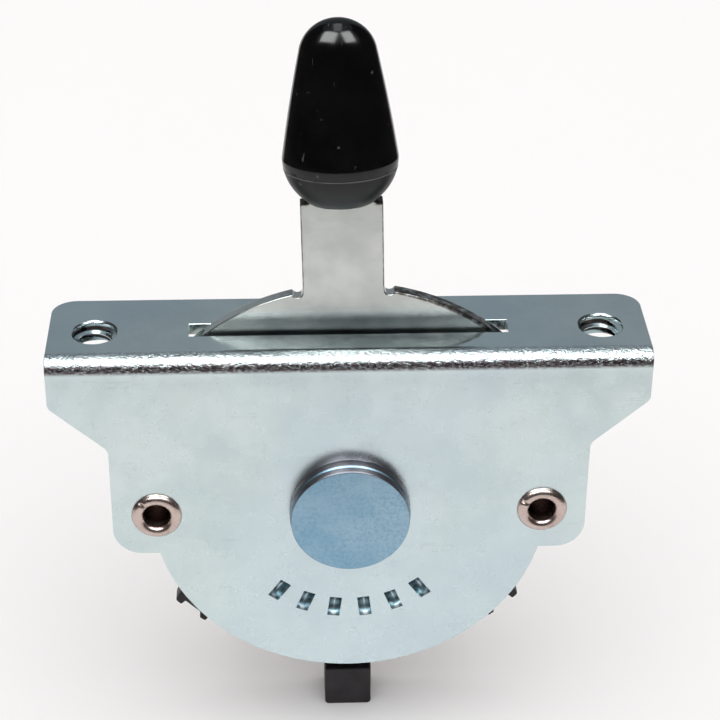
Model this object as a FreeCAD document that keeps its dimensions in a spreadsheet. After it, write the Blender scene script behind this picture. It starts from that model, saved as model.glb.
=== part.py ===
import FreeCAD, Part
import math
import os

import Sketcher
from FreeCAD import Placement, Rotation, Vector

# Five-position lever switch on a folded steel bracket.
# Millimetres. +X right, +Y to the rear, +Z up. The origin lies midway between the two
# mounting holes, on the flange's top face. Each piece is drawn in a frame of its own,
# centred on the pivot's axis in the plane of the bracket's front face.

DIMENSIONS = {
    # Bracket: one folded sheet, flange on top and plate in front
    "sheet_thickness": 1.0,
    "bend_inside_radius": 0.15,
    "flange_depth": 9.75,
    "flange_end_margin": 3.75,
    "flange_corner_radius": 2.0,
    "hole_inset": 4.6,
    "hole_spacing": 41.3,
    "thread_diameter": 3.5,
    "collar_wall": 0.6,
    "collar_height": 0.8,
    "hole_mouth_round": 0.3,
    "slot_end_clearance": 0.21,
    "slot_side_clearance": 0.45,
    "shoulder_drop": 4.45,
    "waist_rise": 6.25,
    "waist_margin": 3.7,
    "wing_drop": 4.1,
    "wing_step": 3.31,
    "wing_corner_radius": 2.4,
    "shoulder_round": 0.8,
    "waist_round": 1.0,
    "pivot_drop": 14.85,
    # Lanced detent bridges in the plate
    "bridge_count": 6,
    "detent_step_angle": 14.4,
    "detent_radius": 10.15,
    "bridge_width": 1.0,
    "bridge_length": 1.85,
    "bridge_depth": 0.8,
    "ridge_length": 2.9,
    # Pivot post, its bush, washer and ring
    "head_diameter": 9.85,
    "skirt_step": 0.1,
    "head_thickness": 1.65,
    "skirt_thickness": 0.85,
    "head_edge": 0.12,
    "post_diameter": 5.0,
    "running_clearance": 0.03,
    "end_play": 0.05,
    "bush_wall": 1.47,
    "washer_wall": 1.17,
    "washer_thickness": 0.3,
    "ring_thickness": 0.4,
    "ring_wall": 2.17,
    "ring_groove_depth": 0.5,
    "ring_grip": 0.33,
    "post_stub": 0.6,
    # Lever: one stamping
    "lever_thickness": 1.1,
    "lever_lean_angle": 1.3,
    "lever_travel_angle": 28.8,
    "apron_radius": 18.85,
    "apron_spacer_clearance": 0.12,
    "lever_hub_diameter": 15.0,
    "stem_width": 6.55,
    "stem_top": 26.55,
    "stem_notch_radius": 0.45,
    "tang_width": 5.0,
    "tang_length": 8.5,
    "tail_side_wall": 1.09,
    "tail_end_wall": 1.14,
    # Detent ball and the clip that presses it
    "ball_diameter": 3.2,
    "ball_hole_clearance": 0.03,
    "ball_lift_clearance": 0.04,
    "ball_clip_gap": 0.16,
    "clip_thickness": 0.25,
    "clip_fit": 0.02,
    "clip_hub_gap": 0.7,
    "clip_end_gap": 0.35,
    # Slip-on tip
    "tip_width": 9.12,
    "tip_depth": 6.05,
    "tip_height": 15.2,
    "tip_belly_height": 3.78,
    "tip_foot_wall": 0.07,
    "tip_dome_width": 6.0,
    "tip_dome_height": 2.55,
    "tip_flank_rise": 0.07,
    "tip_seat": 0.05,
    "tip_slot_fit": 0.03,
    # Eyelets and spacers
    "eyelet_lug_gap": 1.85,
    "eyelet_drop": 0.2,
    "eyelet_bore": 2.2,
    "eyelet_wall": 0.4,
    "eyelet_lip_overhang": 0.6,
    "eyelet_lip_height": 0.45,
    "eyelet_hole_clearance": 0.05,
    "spacer_wall": 0.65,
    # Wafer, moulded, with teeth on its rim and a foot
    "wafer_gap": 0.15,
    "wafer_thickness": 1.6,
    "rim_past_plate": 2.76,
    "rim_step": 0.55,
    "tooth_height": 0.55,
    "tooth_width_angle": 1.9,
    "outer_tooth_angle": 47.5,
    "tooth_pitch_angle": 7.9,
    "wafer_flank_angle": 25.5,
    "ear_margin": 2.95,
    "ear_top": 6.0,
    "ear_bottom": 7.2,
    "ear_round": 2.2,
    "foot_width": 4.1,
    "foot_drop": 0.4,
    "foot_height": 4.05,
    "foot_reach": 2.4,
    "foot_round": 0.35,
    # Rotor and its contact blades
    "rotor_diameter": 12.6,
    "rotor_clearance": 0.1,
    "drive_pin_diameter": 2.0,
    "drive_pin_radius": 4.7,
    "drive_pin_fit": 0.05,
    "rotor_hub_diameter": 7.2,
    "rotor_hub_height": 0.75,
    "blade_thickness": 0.3,
    "blade_hub_gap": 0.3,
    "blade_track_width": 0.85,
    "blade_rim_gap": 0.2,
    "blade_start_angle": 31.2,
    "blade_end_angle": 138.0,
    "blade_lobe_angle": 24.0,
    "stud_diameter": 0.7,
    "stud_fit": 0.05,
    "stud_height": 0.02,
    "stud_inset_angle": 8.0,
    # Terminals: finger, riveted pad and solder lug in one strip
    "terminal_thickness": 0.4,
    "terminal_width": 2.4,
    "finger_width": 1.2,
    "finger_lift": 0.05,
    "throw_finger_gap": 0.35,
    "common_finger_lap": 0.2,
    "pad_rotor_gap": 2.9,
    "rivet_inset": 2.5,
    "lug_rivet_distance": 2.5,
    "lug_length": 6.6,
    "lug_hole_width": 1.2,
    "lug_hole_length": 2.6,
    "lug_hole_inset": 0.9,
    "rivet_diameter": 1.2,
    "rivet_head_diameter": 2.0,
    "rivet_head_height": 0.35,
    "rivet_fit": 0.03,
}

# Terminals on each side, counted in whole steps of two detents from straight down
TERMINALS_PER_SIDE = 4
COMMON_TERMINAL = 4

# A cut that takes less than this, in cubic millimetres, has missed its piece
SMALLEST_CUT = 0.001

document = FreeCAD.newDocument("lever_switch")
sheet = document.addObject("Spreadsheet::Sheet", "sizes")


class Size:
    """A length or angle that holds its number and the cell formula that gives it."""

    def __init__(self, number, formula):
        self.number = number
        self.formula = formula

    def join(self, other, sign, number):
        text = other.formula if isinstance(other, Size) else repr(other)
        return Size(number, "(" + self.formula + " " + sign + " " + text + ")")

    def __add__(self, other):
        return self.join(other, "+", self.number + plain(other))

    def __sub__(self, other):
        return self.join(other, "-", self.number - plain(other))

    def __mul__(self, other):
        return self.join(other, "*", self.number * plain(other))

    def __truediv__(self, other):
        return self.join(other, "/", self.number / plain(other))

    def __neg__(self):
        return Size(-self.number, "(-1 * " + self.formula + ")")


def plain(value):
    return value.number if isinstance(value, Size) else float(value)


def sine(angle):
    return Size(math.sin(math.radians(angle.number)), "sin(" + angle.formula + ")")


def cosine(angle):
    return Size(math.cos(math.radians(angle.number)), "cos(" + angle.formula + ")")


def root(square):
    return Size(math.sqrt(square.number), "sqrt(" + square.formula + ")")


def angle_of_sine(share):
    degrees = math.degrees(math.asin(share.number))
    return Size(degrees, "(asin(" + share.formula + ") / (1 deg))")


def fill_sheet():
    for row, (alias, value) in enumerate(DIMENSIONS.items(), start=1):
        sheet.set("A%d" % row, alias)
        sheet.set("B%d" % row, str(value))
        sheet.setAlias("B%d" % row, alias)
    document.recompute()


def size(alias):
    return Size(float(getattr(sheet, alias)), "sizes." + alias)


fill_sheet()
zero = Size(0.0, "0")

# Planes along the pivot's axis, counted to the rear from the bracket's front face
thickness = size("sheet_thickness")
ridge_top = thickness + size("bridge_depth")
ball_back = ridge_top + size("ball_lift_clearance") + size("ball_diameter")
lever_back = ball_back + size("ball_clip_gap")
lever_front = lever_back - size("lever_thickness")
lever_middle = lever_back - size("lever_thickness") / 2
clip_back = lever_back + size("clip_thickness")
wafer_front = clip_back + size("wafer_gap")
wafer_back = wafer_front + size("wafer_thickness")
rotor_front = lever_back + size("end_play")
rotor_back = wafer_back
hub_back = rotor_back + size("rotor_hub_height")
washer_front = hub_back + size("end_play")
washer_back = washer_front + size("washer_thickness")
ring_front = washer_back + size("end_play")
ring_back = ring_front + size("ring_thickness")
post_back = ring_back + size("post_stub")

# Radii and reaches square to the axis, from the pivot outwards
flange_top = size("pivot_drop")
flange_under = flange_top - thickness
post_hole = size("post_diameter") / 2 + size("running_clearance")
ring_bore = post_hole - size("ring_groove_depth")
blade_inner = size("rotor_hub_diameter") / 2 + size("blade_hub_gap")
blade_track = blade_inner + size("blade_track_width")
blade_outer = size("rotor_diameter") / 2 - size("blade_rim_gap")
pad_inner = size("rotor_diameter") / 2 + size("pad_rotor_gap")
rivet_radius = pad_inner + size("rivet_inset")
lug_radius = rivet_radius + size("lug_rivet_distance")
eyelet_across = lug_radius + size("eyelet_lug_gap")
eyelet_shank = size("eyelet_bore") / 2 + size("eyelet_wall")
eyelet_hole = eyelet_shank + size("eyelet_hole_clearance")
spacer_outer = eyelet_hole + size("spacer_wall")
half_waist = eyelet_across + size("waist_margin")
plate_round = half_waist - size("wing_step")
wafer_rim_radius = plate_round + size("rim_past_plate")
hole_across = size("hole_spacing") / 2
ball_hole = (size("ball_diameter") / 2 + size("ball_hole_clearance")
             + size("detent_radius") * sine(size("lever_lean_angle")))
half_tail = ball_hole + size("tail_side_wall")
tail_end = size("detent_radius") + ball_hole + size("tail_end_wall")


def place(item, leaning=False, turn=None):
    """Put a piece's own frame on the pivot's axis, turned with the lever or by an angle."""
    angle = -size("lever_lean_angle") if leaning else (turn or zero)
    item.Placement = Placement(Vector(), Rotation(Vector(0, 1, 0), angle.number))
    item.setExpression("Placement.Base.y", (-size("hole_inset")).formula)
    item.setExpression("Placement.Base.z", (-size("pivot_drop")).formula)
    item.setExpression("Placement.Rotation.Angle", angle.formula)


def new_body(name, leaning=False, turn=None):
    body = document.addObject("PartDesign::Body", name)
    body.Label = name
    place(body, leaning, turn)
    return body


def origin_feature(body, role):
    return next(item for item in body.Origin.OriginFeatures if item.Role == role)


def new_sketch(body, name, role, offset=zero, spin=zero):
    """Sketch on an origin plane, moved along its normal and spun about its own X."""
    drawing = body.newObject("Sketcher::SketchObject", name)
    drawing.AttachmentSupport = [(origin_feature(body, role), "")]
    drawing.MapMode = "FlatFace"
    drawing.AttachmentOffset = Placement(Vector(), Rotation(Vector(1, 0, 0), spin.number))
    drawing.setExpression("AttachmentOffset.Base.z", offset.formula)
    return drawing


def bind(drawing, kind, places, value):
    index = drawing.addConstraint(Sketcher.Constraint(kind, *places, value.number))
    drawing.setExpression("Constraints[%d]" % index, value.formula)


def draw_circle(drawing, across, up, radius):
    centre = Vector(across.number, up.number, 0)
    index = drawing.addGeometry(Part.Circle(centre, Vector(0, 0, 1), radius.number))
    bind(drawing, "Radius", (index,), radius)
    bind(drawing, "DistanceX", (-1, 1, index, 3), across)
    bind(drawing, "DistanceY", (-1, 1, index, 3), up)


def arc_between(start, finish, radius, side):
    """Arc of a given radius from start to finish, bulging to the side given by the sign."""
    middle = (start + finish) * 0.5
    half = (finish - start) * 0.5
    reach = math.sqrt(max(radius ** 2 - half.Length ** 2, 0.0))
    normal = Vector(-half.y, half.x, 0).normalize()
    top = middle + normal * side * (radius - reach)
    return Part.Arc(start, top, finish)


def draw_outline(drawing, corners):
    """Closed outline. A corner is (across, up) or (across, up, radius, side): the latter
    two curve the edge that leaves it, towards its left for side 1 and right for -1."""
    points = [Vector(corner[0].number, corner[1].number, 0) for corner in corners]
    edges = []
    for index, corner in enumerate(corners):
        start = points[index]
        finish = points[(index + 1) % len(points)]
        if len(corner) == 2:
            edge = Part.LineSegment(start, finish)
        else:
            edge = arc_between(start, finish, corner[2].number, corner[3])
        edges.append(drawing.addGeometry(edge))
    ends = [ends_from(drawing, edge, point) for edge, point in zip(edges, points)]
    for index, corner in enumerate(corners):
        edge = edges[index]
        start, finish = ends[index]
        following = (index + 1) % len(corners)
        drawing.addConstraint(Sketcher.Constraint("Coincident", edge, finish,
                                                  edges[following], ends[following][0]))
        bind(drawing, "DistanceX", (-1, 1, edge, start), corner[0])
        bind(drawing, "DistanceY", (-1, 1, edge, start), corner[1])
        chord = points[following] - points[index]
        if len(corner) == 4 and abs(chord.Length - 2 * corner[2].number) < 1e-6:
            hold_half_round(drawing, edge, corner, chord)
        elif len(corner) == 4:
            bind(drawing, "Radius", (edge,), corner[2])


def hold_half_round(drawing, index, corner, chord):
    """Keep a half circle's centre level with its ends, across or up."""
    if abs(chord.x) > abs(chord.y):
        bind(drawing, "DistanceY", (-1, 1, index, 3), corner[1])
    else:
        bind(drawing, "DistanceX", (-1, 1, index, 3), corner[0])


def ends_from(drawing, edge, corner):
    """Which end of an edge (1 or 2) lies on its first corner, and which on the next."""
    return (1, 2) if drawing.getPoint(edge, 1).distanceToPoint(corner) < 1e-6 else (2, 1)


def draw_rectangle(drawing, left, bottom, right, top):
    draw_outline(drawing, [(left, bottom), (right, bottom), (right, top), (left, top)])


def add_feature(body, kind, name, drawing, length=None, reverse=False, both=False):
    feature = body.newObject("PartDesign::" + kind, name)
    feature.Profile = drawing
    feature.Reversed = reverse
    if length is None:
        feature.Type = "ThroughAll"
        feature.Midplane = both
    else:
        feature.setExpression("Length", length.formula)
        feature.Midplane = both
    drawing.Visibility = False
    return feature


def pad(body, name, drawing, length, reverse=False, both=False):
    return add_feature(body, "Pad", name, drawing, length, reverse, both)


def cut(body, name, drawing, length=None, reverse=False, both=False):
    """Remove a drawn area, and make sure that it took something away."""
    document.recompute()
    before = body.Shape.Volume
    feature = add_feature(body, "Pocket", name, drawing, length, reverse, both)
    document.recompute()
    if before - body.Shape.Volume < SMALLEST_CUT:
        raise ValueError(name + " removed nothing")
    return feature


def revolve(body, name, drawing):
    """Turn a drawing on the YZ plane about the pivot's axis."""
    feature = body.newObject("PartDesign::Revolution", name)
    feature.Profile = drawing
    feature.ReferenceAxis = (origin_feature(body, "Y_Axis"), [""])
    feature.Angle = 360
    drawing.Visibility = False
    return feature


def edges_near(shape, spots, reach=0.02):
    """Names of the edges whose middle lies at one of the spots; None leaves an axis free."""
    names = []
    for index, edge in enumerate(shape.Edges, start=1):
        middle = edge.BoundBox.Center
        found = (middle.x, middle.y, middle.z)
        for spot in spots:
            if all(want is None or abs(want - have) < reach for want, have in zip(spot, found)):
                names.append("Edge%d" % index)
                break
    return names


def round_edges(body, name, spots, radius, kind="Fillet"):
    document.recompute()
    base = body.Tip
    local = body.Shape.copy()
    local.Placement = Placement()
    names = edges_near(local, spots)
    if not names:
        raise ValueError(name + " found no edge")
    feature = body.newObject("PartDesign::" + kind, name)
    feature.Base = (base, names)
    field = "Radius" if kind == "Fillet" else "Size"
    feature.setExpression(field, radius.formula)
    return feature


def build_frame():
    body = new_body("frame")
    bend = size("bend_inside_radius")
    outer_bend = bend + thickness
    depth = size("flange_depth")
    shoulder = flange_top - size("shoulder_drop")
    waist = size("waist_rise")
    wing = -size("wing_drop")
    half_flange = hole_across + size("flange_end_margin")
    notch = root(plate_round * plate_round - wing * wing)

    profile = new_sketch(body, "angle_profile", "YZ_Plane")
    draw_outline(profile, [
        (zero, shoulder),
        (zero, flange_top - outer_bend, outer_bend, 1),
        (outer_bend, flange_top),
        (depth, flange_top),
        (depth, flange_under),
        (outer_bend, flange_under, bend, -1),
        (thickness, flange_top - outer_bend),
        (thickness, shoulder),
    ])
    pad(body, "folded_angle", profile, half_flange * 2, both=True)

    plate = new_sketch(body, "plate_outline", "XZ_Plane")
    draw_outline(plate, [
        (-half_flange, shoulder),
        (-half_waist, waist),
        (-half_waist, wing),
        (-notch, wing, plate_round, -1),
        (notch, wing),
        (half_waist, wing),
        (half_waist, waist),
        (half_flange, shoulder),
    ])
    pad(body, "plate", plate, thickness, reverse=True)
    middle = plain(thickness) / 2
    round_edges(body, "wing_corners",
                [(side * plain(half_waist), middle, plain(wing)) for side in (-1, 1)],
                size("wing_corner_radius"))
    round_edges(body, "shoulder_corners",
                [(side * plain(half_flange), middle, plain(shoulder)) for side in (-1, 1)],
                size("shoulder_round"))
    round_edges(body, "waist_corners",
                [(side * plain(half_waist), middle, plain(waist)) for side in (-1, 1)],
                size("waist_round"))
    flange_middle = plain(flange_top - thickness / 2)
    round_edges(body, "flange_corners",
                [(side * plain(half_flange), plain(depth), flange_middle) for side in (-1, 1)],
                size("flange_corner_radius"))

    thread = size("thread_diameter") / 2
    collars = new_sketch(body, "collar_outlines", "XY_Plane", offset=flange_under)
    for side in (-1, 1):
        draw_circle(collars, hole_across * side, size("hole_inset"),
                    thread + size("collar_wall"))
    pad(body, "thread_collars", collars, size("collar_height"), reverse=True)
    mouths = new_sketch(body, "hole_outlines", "XY_Plane", offset=flange_top)
    for side in (-1, 1):
        draw_circle(mouths, hole_across * side, size("hole_inset"), thread)
    cut(body, "mounting_holes", mouths, thickness + size("collar_height"))
    round_edges(body, "hole_mouths",
                [(side * plain(hole_across), plain(size("hole_inset")), plain(flange_top))
                 for side in (-1, 1)],
                size("hole_mouth_round"))

    slot = new_sketch(body, "slot_outline", "XY_Plane", offset=flange_top)
    rim = size("apron_radius")
    half_slot = root(rim * rim - flange_under * flange_under) + size("slot_end_clearance")
    gap = size("slot_side_clearance")
    draw_rectangle(slot, -half_slot, lever_front - gap, half_slot, lever_back + gap)
    cut(body, "lever_slot", slot, thickness)

    holes = new_sketch(body, "plate_holes", "XZ_Plane")
    draw_circle(holes, zero, zero, post_hole)
    for side in (-1, 1):
        draw_circle(holes, eyelet_across * side, -size("eyelet_drop"), eyelet_hole)
    cut(body, "rivet_holes", holes, thickness)
    add_bridges(body)
    return body


def arc_radius(chord, rise):
    """Radius of the arc that rises by a given height over a chord."""
    return (chord * chord / 4 + rise * rise) / (rise * 2)


def add_bridges(body):
    """Six strips sheared along both sides and pushed to the rear, on an arc round the pivot:
    each leaves a rounded hollow in front and a ridge behind."""
    first = size("detent_step_angle") * (plain(size("bridge_count")) - 1) / -2
    radius = size("detent_radius")
    half_ridge = size("ridge_length") / 2
    half_hollow = size("bridge_length") / 2
    depth = size("bridge_depth")

    ridge = new_sketch(body, "ridge_profile", "YZ_Plane", spin=first)
    draw_outline(ridge, [
        (thickness, half_ridge - radius, arc_radius(size("ridge_length"), depth), 1),
        (thickness, -radius - half_ridge),
        (thickness / 2, -radius - half_ridge),
        (thickness / 2, half_ridge - radius),
    ])
    ridge_pad = pad(body, "ridge", ridge, size("bridge_width"), both=True)
    pattern_round(body, "ridges", ridge_pad)
    hollow = new_sketch(body, "hollow_profile", "YZ_Plane", spin=first)
    draw_outline(hollow, [
        (zero, half_hollow - radius, arc_radius(size("bridge_length"), depth), 1),
        (zero, -radius - half_hollow),
    ])
    hollow_cut = cut(body, "hollow", hollow, size("bridge_width"), both=True)
    pattern_round(body, "hollows", hollow_cut)


def pattern_round(body, name, feature):
    """Repeat a feature at every bridge's angle about the pivot."""
    pattern = body.newObject("PartDesign::PolarPattern", name)
    pattern.Originals = [feature]
    pattern.Axis = (origin_feature(body, "Y_Axis"), [""])
    pattern.Mode = "Extent"
    steps = size("bridge_count") - 1
    pattern.setExpression("Angle", (size("detent_step_angle") * steps).formula)
    pattern.setExpression("Occurrences", size("bridge_count").formula)
    body.Tip = pattern
    document.recompute()
    return pattern


def build_pivot_post():
    body = new_body("pivot_post")
    face = size("head_diameter") / 2
    skirt = face + size("skirt_step")
    edge = size("head_edge")
    shank = size("post_diameter") / 2
    groove = shank - size("ring_groove_depth")
    head = -size("head_thickness")
    step = -size("skirt_thickness")
    play = size("end_play") / 2
    profile = new_sketch(body, "post_profile", "YZ_Plane")
    draw_outline(profile, [
        (head, zero),
        (head, face - edge),
        (head + edge, face),
        (step - edge, face),
        (step, skirt),
        (zero, skirt),
        (zero, shank),
        (ring_front - play, shank),
        (ring_front - play, groove),
        (ring_back + play, groove),
        (ring_back + play, shank),
        (post_back - edge, shank),
        (post_back, shank - edge),
        (post_back, zero),
    ])
    revolve(body, "turned_post", profile)


def build_tube(name, inner, outer, front, back):
    body = new_body(name)
    ring = new_sketch(body, name + "_section", "XZ_Plane", offset=-front)
    draw_circle(ring, zero, zero, outer)
    draw_circle(ring, zero, zero, inner)
    pad(body, name + "_tube", ring, back - front, reverse=True)
    return body


def build_pivot_bush():
    gap = lever_front - size("end_play")
    build_tube("pivot_bush", post_hole, post_hole + size("bush_wall"), thickness, gap)


def build_thrust_washer():
    build_tube("thrust_washer", post_hole, post_hole + size("washer_wall"),
               washer_front, washer_back)


def build_retaining_ring():
    """Open ring that snaps into the post's groove from the left."""
    rim = ring_bore + size("ring_wall")
    body = build_tube("retaining_ring", ring_bore, rim, ring_front, ring_back)
    mouth = new_sketch(body, "mouth_outline", "XZ_Plane", offset=-ring_front)
    half = ring_bore - size("ring_grip")
    draw_rectangle(mouth, -rim - half, -half, zero, half)
    cut(body, "mouth", mouth, size("ring_thickness"))


def build_lever():
    body = new_body("lever", leaning=True)
    rim = size("apron_radius")
    spread = apron_half_angle()
    half_stem = size("stem_width") / 2
    half_tang = size("tang_width") / 2
    top = size("stem_top")
    depth = size("lever_thickness")

    def layer(name):
        return new_sketch(body, name, "XZ_Plane", offset=-lever_front)

    hub = layer("hub_outline")
    draw_circle(hub, zero, zero, size("lever_hub_diameter") / 2)
    pad(body, "hub", hub, depth, reverse=True)
    apron = layer("apron_outline")
    draw_outline(apron, [
        (zero, zero),
        (-rim * sine(spread), rim * cosine(spread), rim, 1),
        (rim * sine(spread), rim * cosine(spread)),
    ])
    pad(body, "apron", apron, depth, reverse=True)
    stem = layer("stem_outline")
    draw_rectangle(stem, -half_stem, zero, half_stem, top)
    pad(body, "stem", stem, depth, reverse=True)
    tang = layer("tang_outline")
    draw_rectangle(tang, -half_tang, zero, half_tang, top + size("tang_length"))
    pad(body, "tang", tang, depth, reverse=True)
    tail = layer("tail_outline")
    end = half_tail - tail_end
    draw_outline(tail, [
        (-half_tail, zero),
        (-half_tail, end, half_tail, -1),
        (half_tail, end),
        (half_tail, zero),
    ])
    pad(body, "tail", tail, depth, reverse=True)

    holes = layer("lever_holes")
    draw_circle(holes, zero, zero, post_hole)
    draw_circle(holes, zero, -size("detent_radius"), ball_hole)
    pin = size("drive_pin_diameter") / 2 + size("drive_pin_fit")
    root_height = root(rim * rim - half_stem * half_stem)
    for side in (-1, 1):
        draw_circle(holes, size("drive_pin_radius") * side, zero, pin)
        notch = half_stem + size("stem_notch_radius")
        draw_circle(holes, notch * side, root_height, size("stem_notch_radius"))
    cut(body, "lever_cuts", holes, depth)


def apron_half_angle():
    """Half the apron's spread: at the end of its travel it stops short of the spacers."""
    spacer_reach = spacer_outer + size("apron_spacer_clearance")
    swing = size("lever_travel_angle") + size("lever_lean_angle")
    beside = angle_of_sine(spacer_reach / eyelet_across)
    below = angle_of_sine(size("eyelet_drop") / eyelet_across)
    return below - beside - swing + 90


def build_detent_ball():
    """Steel ball between two ridges, lifted just clear of them. The lever leans by the
    slack round the ball, which stays at the middle of its valley."""
    ball = document.addObject("Part::Sphere", "detent_ball")
    ball.Label = "detent_ball"
    radius = size("ball_diameter") / 2
    centre = ball_back - radius - size("hole_inset")
    ball.setExpression("Radius", radius.formula)
    ball.setExpression("Placement.Base.y", centre.formula)
    ball.setExpression("Placement.Base.z", (-size("detent_radius") - flange_top).formula)


def build_detent_clip():
    """Flat spring behind the tail; its two ears snap round the tail's sides."""
    body = new_body("detent_clip", leaning=True)
    hub = size("lever_hub_diameter") / 2
    inner = half_tail + size("clip_fit")
    outer = inner + size("clip_thickness")
    top = root(hub * hub - outer * outer) + size("clip_hub_gap")
    bottom = tail_end - size("clip_end_gap")
    profile = new_sketch(body, "clip_profile", "XY_Plane", offset=-bottom)
    draw_outline(profile, [
        (-outer, lever_front),
        (-inner, lever_front),
        (-inner, lever_back),
        (inner, lever_back),
        (inner, lever_front),
        (outer, lever_front),
        (outer, clip_back),
        (-outer, clip_back),
    ])
    pad(body, "clip", profile, bottom - top)


def build_lever_tip():
    """Slip-on tip: a half outline turned about its own axis, flattened front to back."""
    half = plain(size("tip_width")) / 2
    fit = size("tip_slot_fit")
    tang = plain(size("tang_width") / 2 + fit)
    deep = plain(size("lever_thickness") / 2 + fit)
    foot = tang + plain(size("tip_foot_wall"))
    dome = plain(size("tip_dome_width")) / 2
    belly = plain(size("tip_belly_height"))
    height = plain(size("tip_height"))
    dome_foot = height - plain(size("tip_dome_height"))
    belly_arc = arc_from_tangent(half, belly, foot)
    flank_middle = Vector((half + dome) / 2 + plain(size("tip_flank_rise")), 0,
                          (belly + dome_foot) / 2)
    dome_radius = (dome ** 2 + (height - dome_foot) ** 2) / (2 * (height - dome_foot))
    dome_middle = Vector(dome_radius * math.sin(math.asin(dome / dome_radius) / 2), 0,
                         height - dome_radius
                         + dome_radius * math.cos(math.asin(dome / dome_radius) / 2))
    edges = [
        Part.LineSegment(Vector(0, 0, 0), Vector(foot, 0, 0)),
        belly_arc,
        Part.Arc(Vector(half, 0, belly), flank_middle, Vector(dome, 0, dome_foot)),
        Part.Arc(Vector(dome, 0, dome_foot), dome_middle, Vector(0, 0, height)),
        Part.LineSegment(Vector(0, 0, height), Vector(0, 0, 0)),
    ]
    section = Part.Face(Part.Wire([edge.toShape() for edge in edges]))
    turned = section.revolve(Vector(), Vector(0, 0, 1), 360)
    flatten = FreeCAD.Matrix()
    flatten.scale(1, plain(size("tip_depth") / size("tip_width")), 1)
    moulded = turned.transformGeometry(flatten)
    slot = Part.makeBox(2 * tang, 2 * deep, plain(size("tang_length") + fit),
                        Vector(-tang, -deep, 0))
    tip = document.addObject("Part::Feature", "lever_tip")
    tip.Label = "lever_tip"
    tip.Shape = moulded.cut(slot)
    lean = Rotation(Vector(0, 1, 0), -plain(size("lever_lean_angle")))
    along = plain(size("stem_top") + size("tip_seat"))
    middle = plain(lever_middle - size("hole_inset"))
    base = lean.multVec(Vector(0, 0, along)) + Vector(0, middle, -plain(flange_top))
    tip.Placement = Placement(base, lean)


def arc_from_tangent(half, belly, foot):
    """Arc from the foot's edge up to the belly, upright where it reaches the belly."""
    centre = (half ** 2 - foot ** 2 - belly ** 2) / (2 * (half - foot))
    radius = half - centre
    angle = math.asin(belly / radius) / 2
    middle = Vector(centre + radius * math.cos(angle), 0, belly - radius * math.sin(angle))
    return Part.Arc(Vector(foot, 0, 0), middle, Vector(half, 0, belly))


def riveted_body(name, side):
    """Body centred on an eyelet's axis instead of the pivot's."""
    body = new_body(name)
    body.setExpression("Placement.Base.x", (eyelet_across * side).formula)
    body.setExpression("Placement.Base.z", (-flange_top - size("eyelet_drop")).formula)
    return body


def build_eyelet(name, side):
    """Hollow rivet with both ends rolled over, from the plate's face to the wafer's back."""
    body = riveted_body(name, side)
    bore = size("eyelet_bore") / 2
    lip = eyelet_shank + size("eyelet_lip_overhang")
    bulge = arc_radius(lip - bore, size("eyelet_lip_height"))
    profile = new_sketch(body, "eyelet_profile", "YZ_Plane")
    draw_outline(profile, [
        (zero, bore, bulge, 1),
        (zero, lip),
        (zero, eyelet_shank),
        (wafer_back, eyelet_shank),
        (wafer_back, lip, bulge, 1),
        (wafer_back, bore),
    ])
    revolve(body, "rolled_eyelet", profile)


def build_spacer(name, side):
    body = riveted_body(name, side)
    ring = new_sketch(body, "spacer_section", "XZ_Plane", offset=-thickness)
    draw_circle(ring, zero, zero, spacer_outer)
    draw_circle(ring, zero, zero, eyelet_hole)
    pad(body, "spacer_tube", ring, wafer_front - thickness, reverse=True)


def polar(radius, angle, side=1):
    """Point at an angle from straight down, to the right for side 1."""
    return radius * sine(angle) * side, -radius * cosine(angle)


def wafer_rim(side):
    """Corners of the wafer's edge on one side, from its flank to the plain rim."""
    step = wafer_rim_radius + size("rim_step")
    tip = step + size("tooth_height")
    half = size("tooth_width_angle") / 2
    outer = size("outer_tooth_angle")
    inner = outer - size("tooth_pitch_angle")
    corner = polar(tip, outer + half, side)
    rise = -corner[1] - size("ear_bottom")
    inset = rise * sine(size("wafer_flank_angle")) / cosine(size("wafer_flank_angle"))
    flank = (corner[0] - inset * side, -size("ear_bottom"))
    return [
        flank,
        corner,
        polar(tip, outer - half, side),
        polar(step, outer - half, side),
        polar(step, inner + half, side),
        polar(tip, inner + half, side),
        polar(tip, inner - half, side),
        polar(wafer_rim_radius, inner - half, side),
    ]


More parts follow.
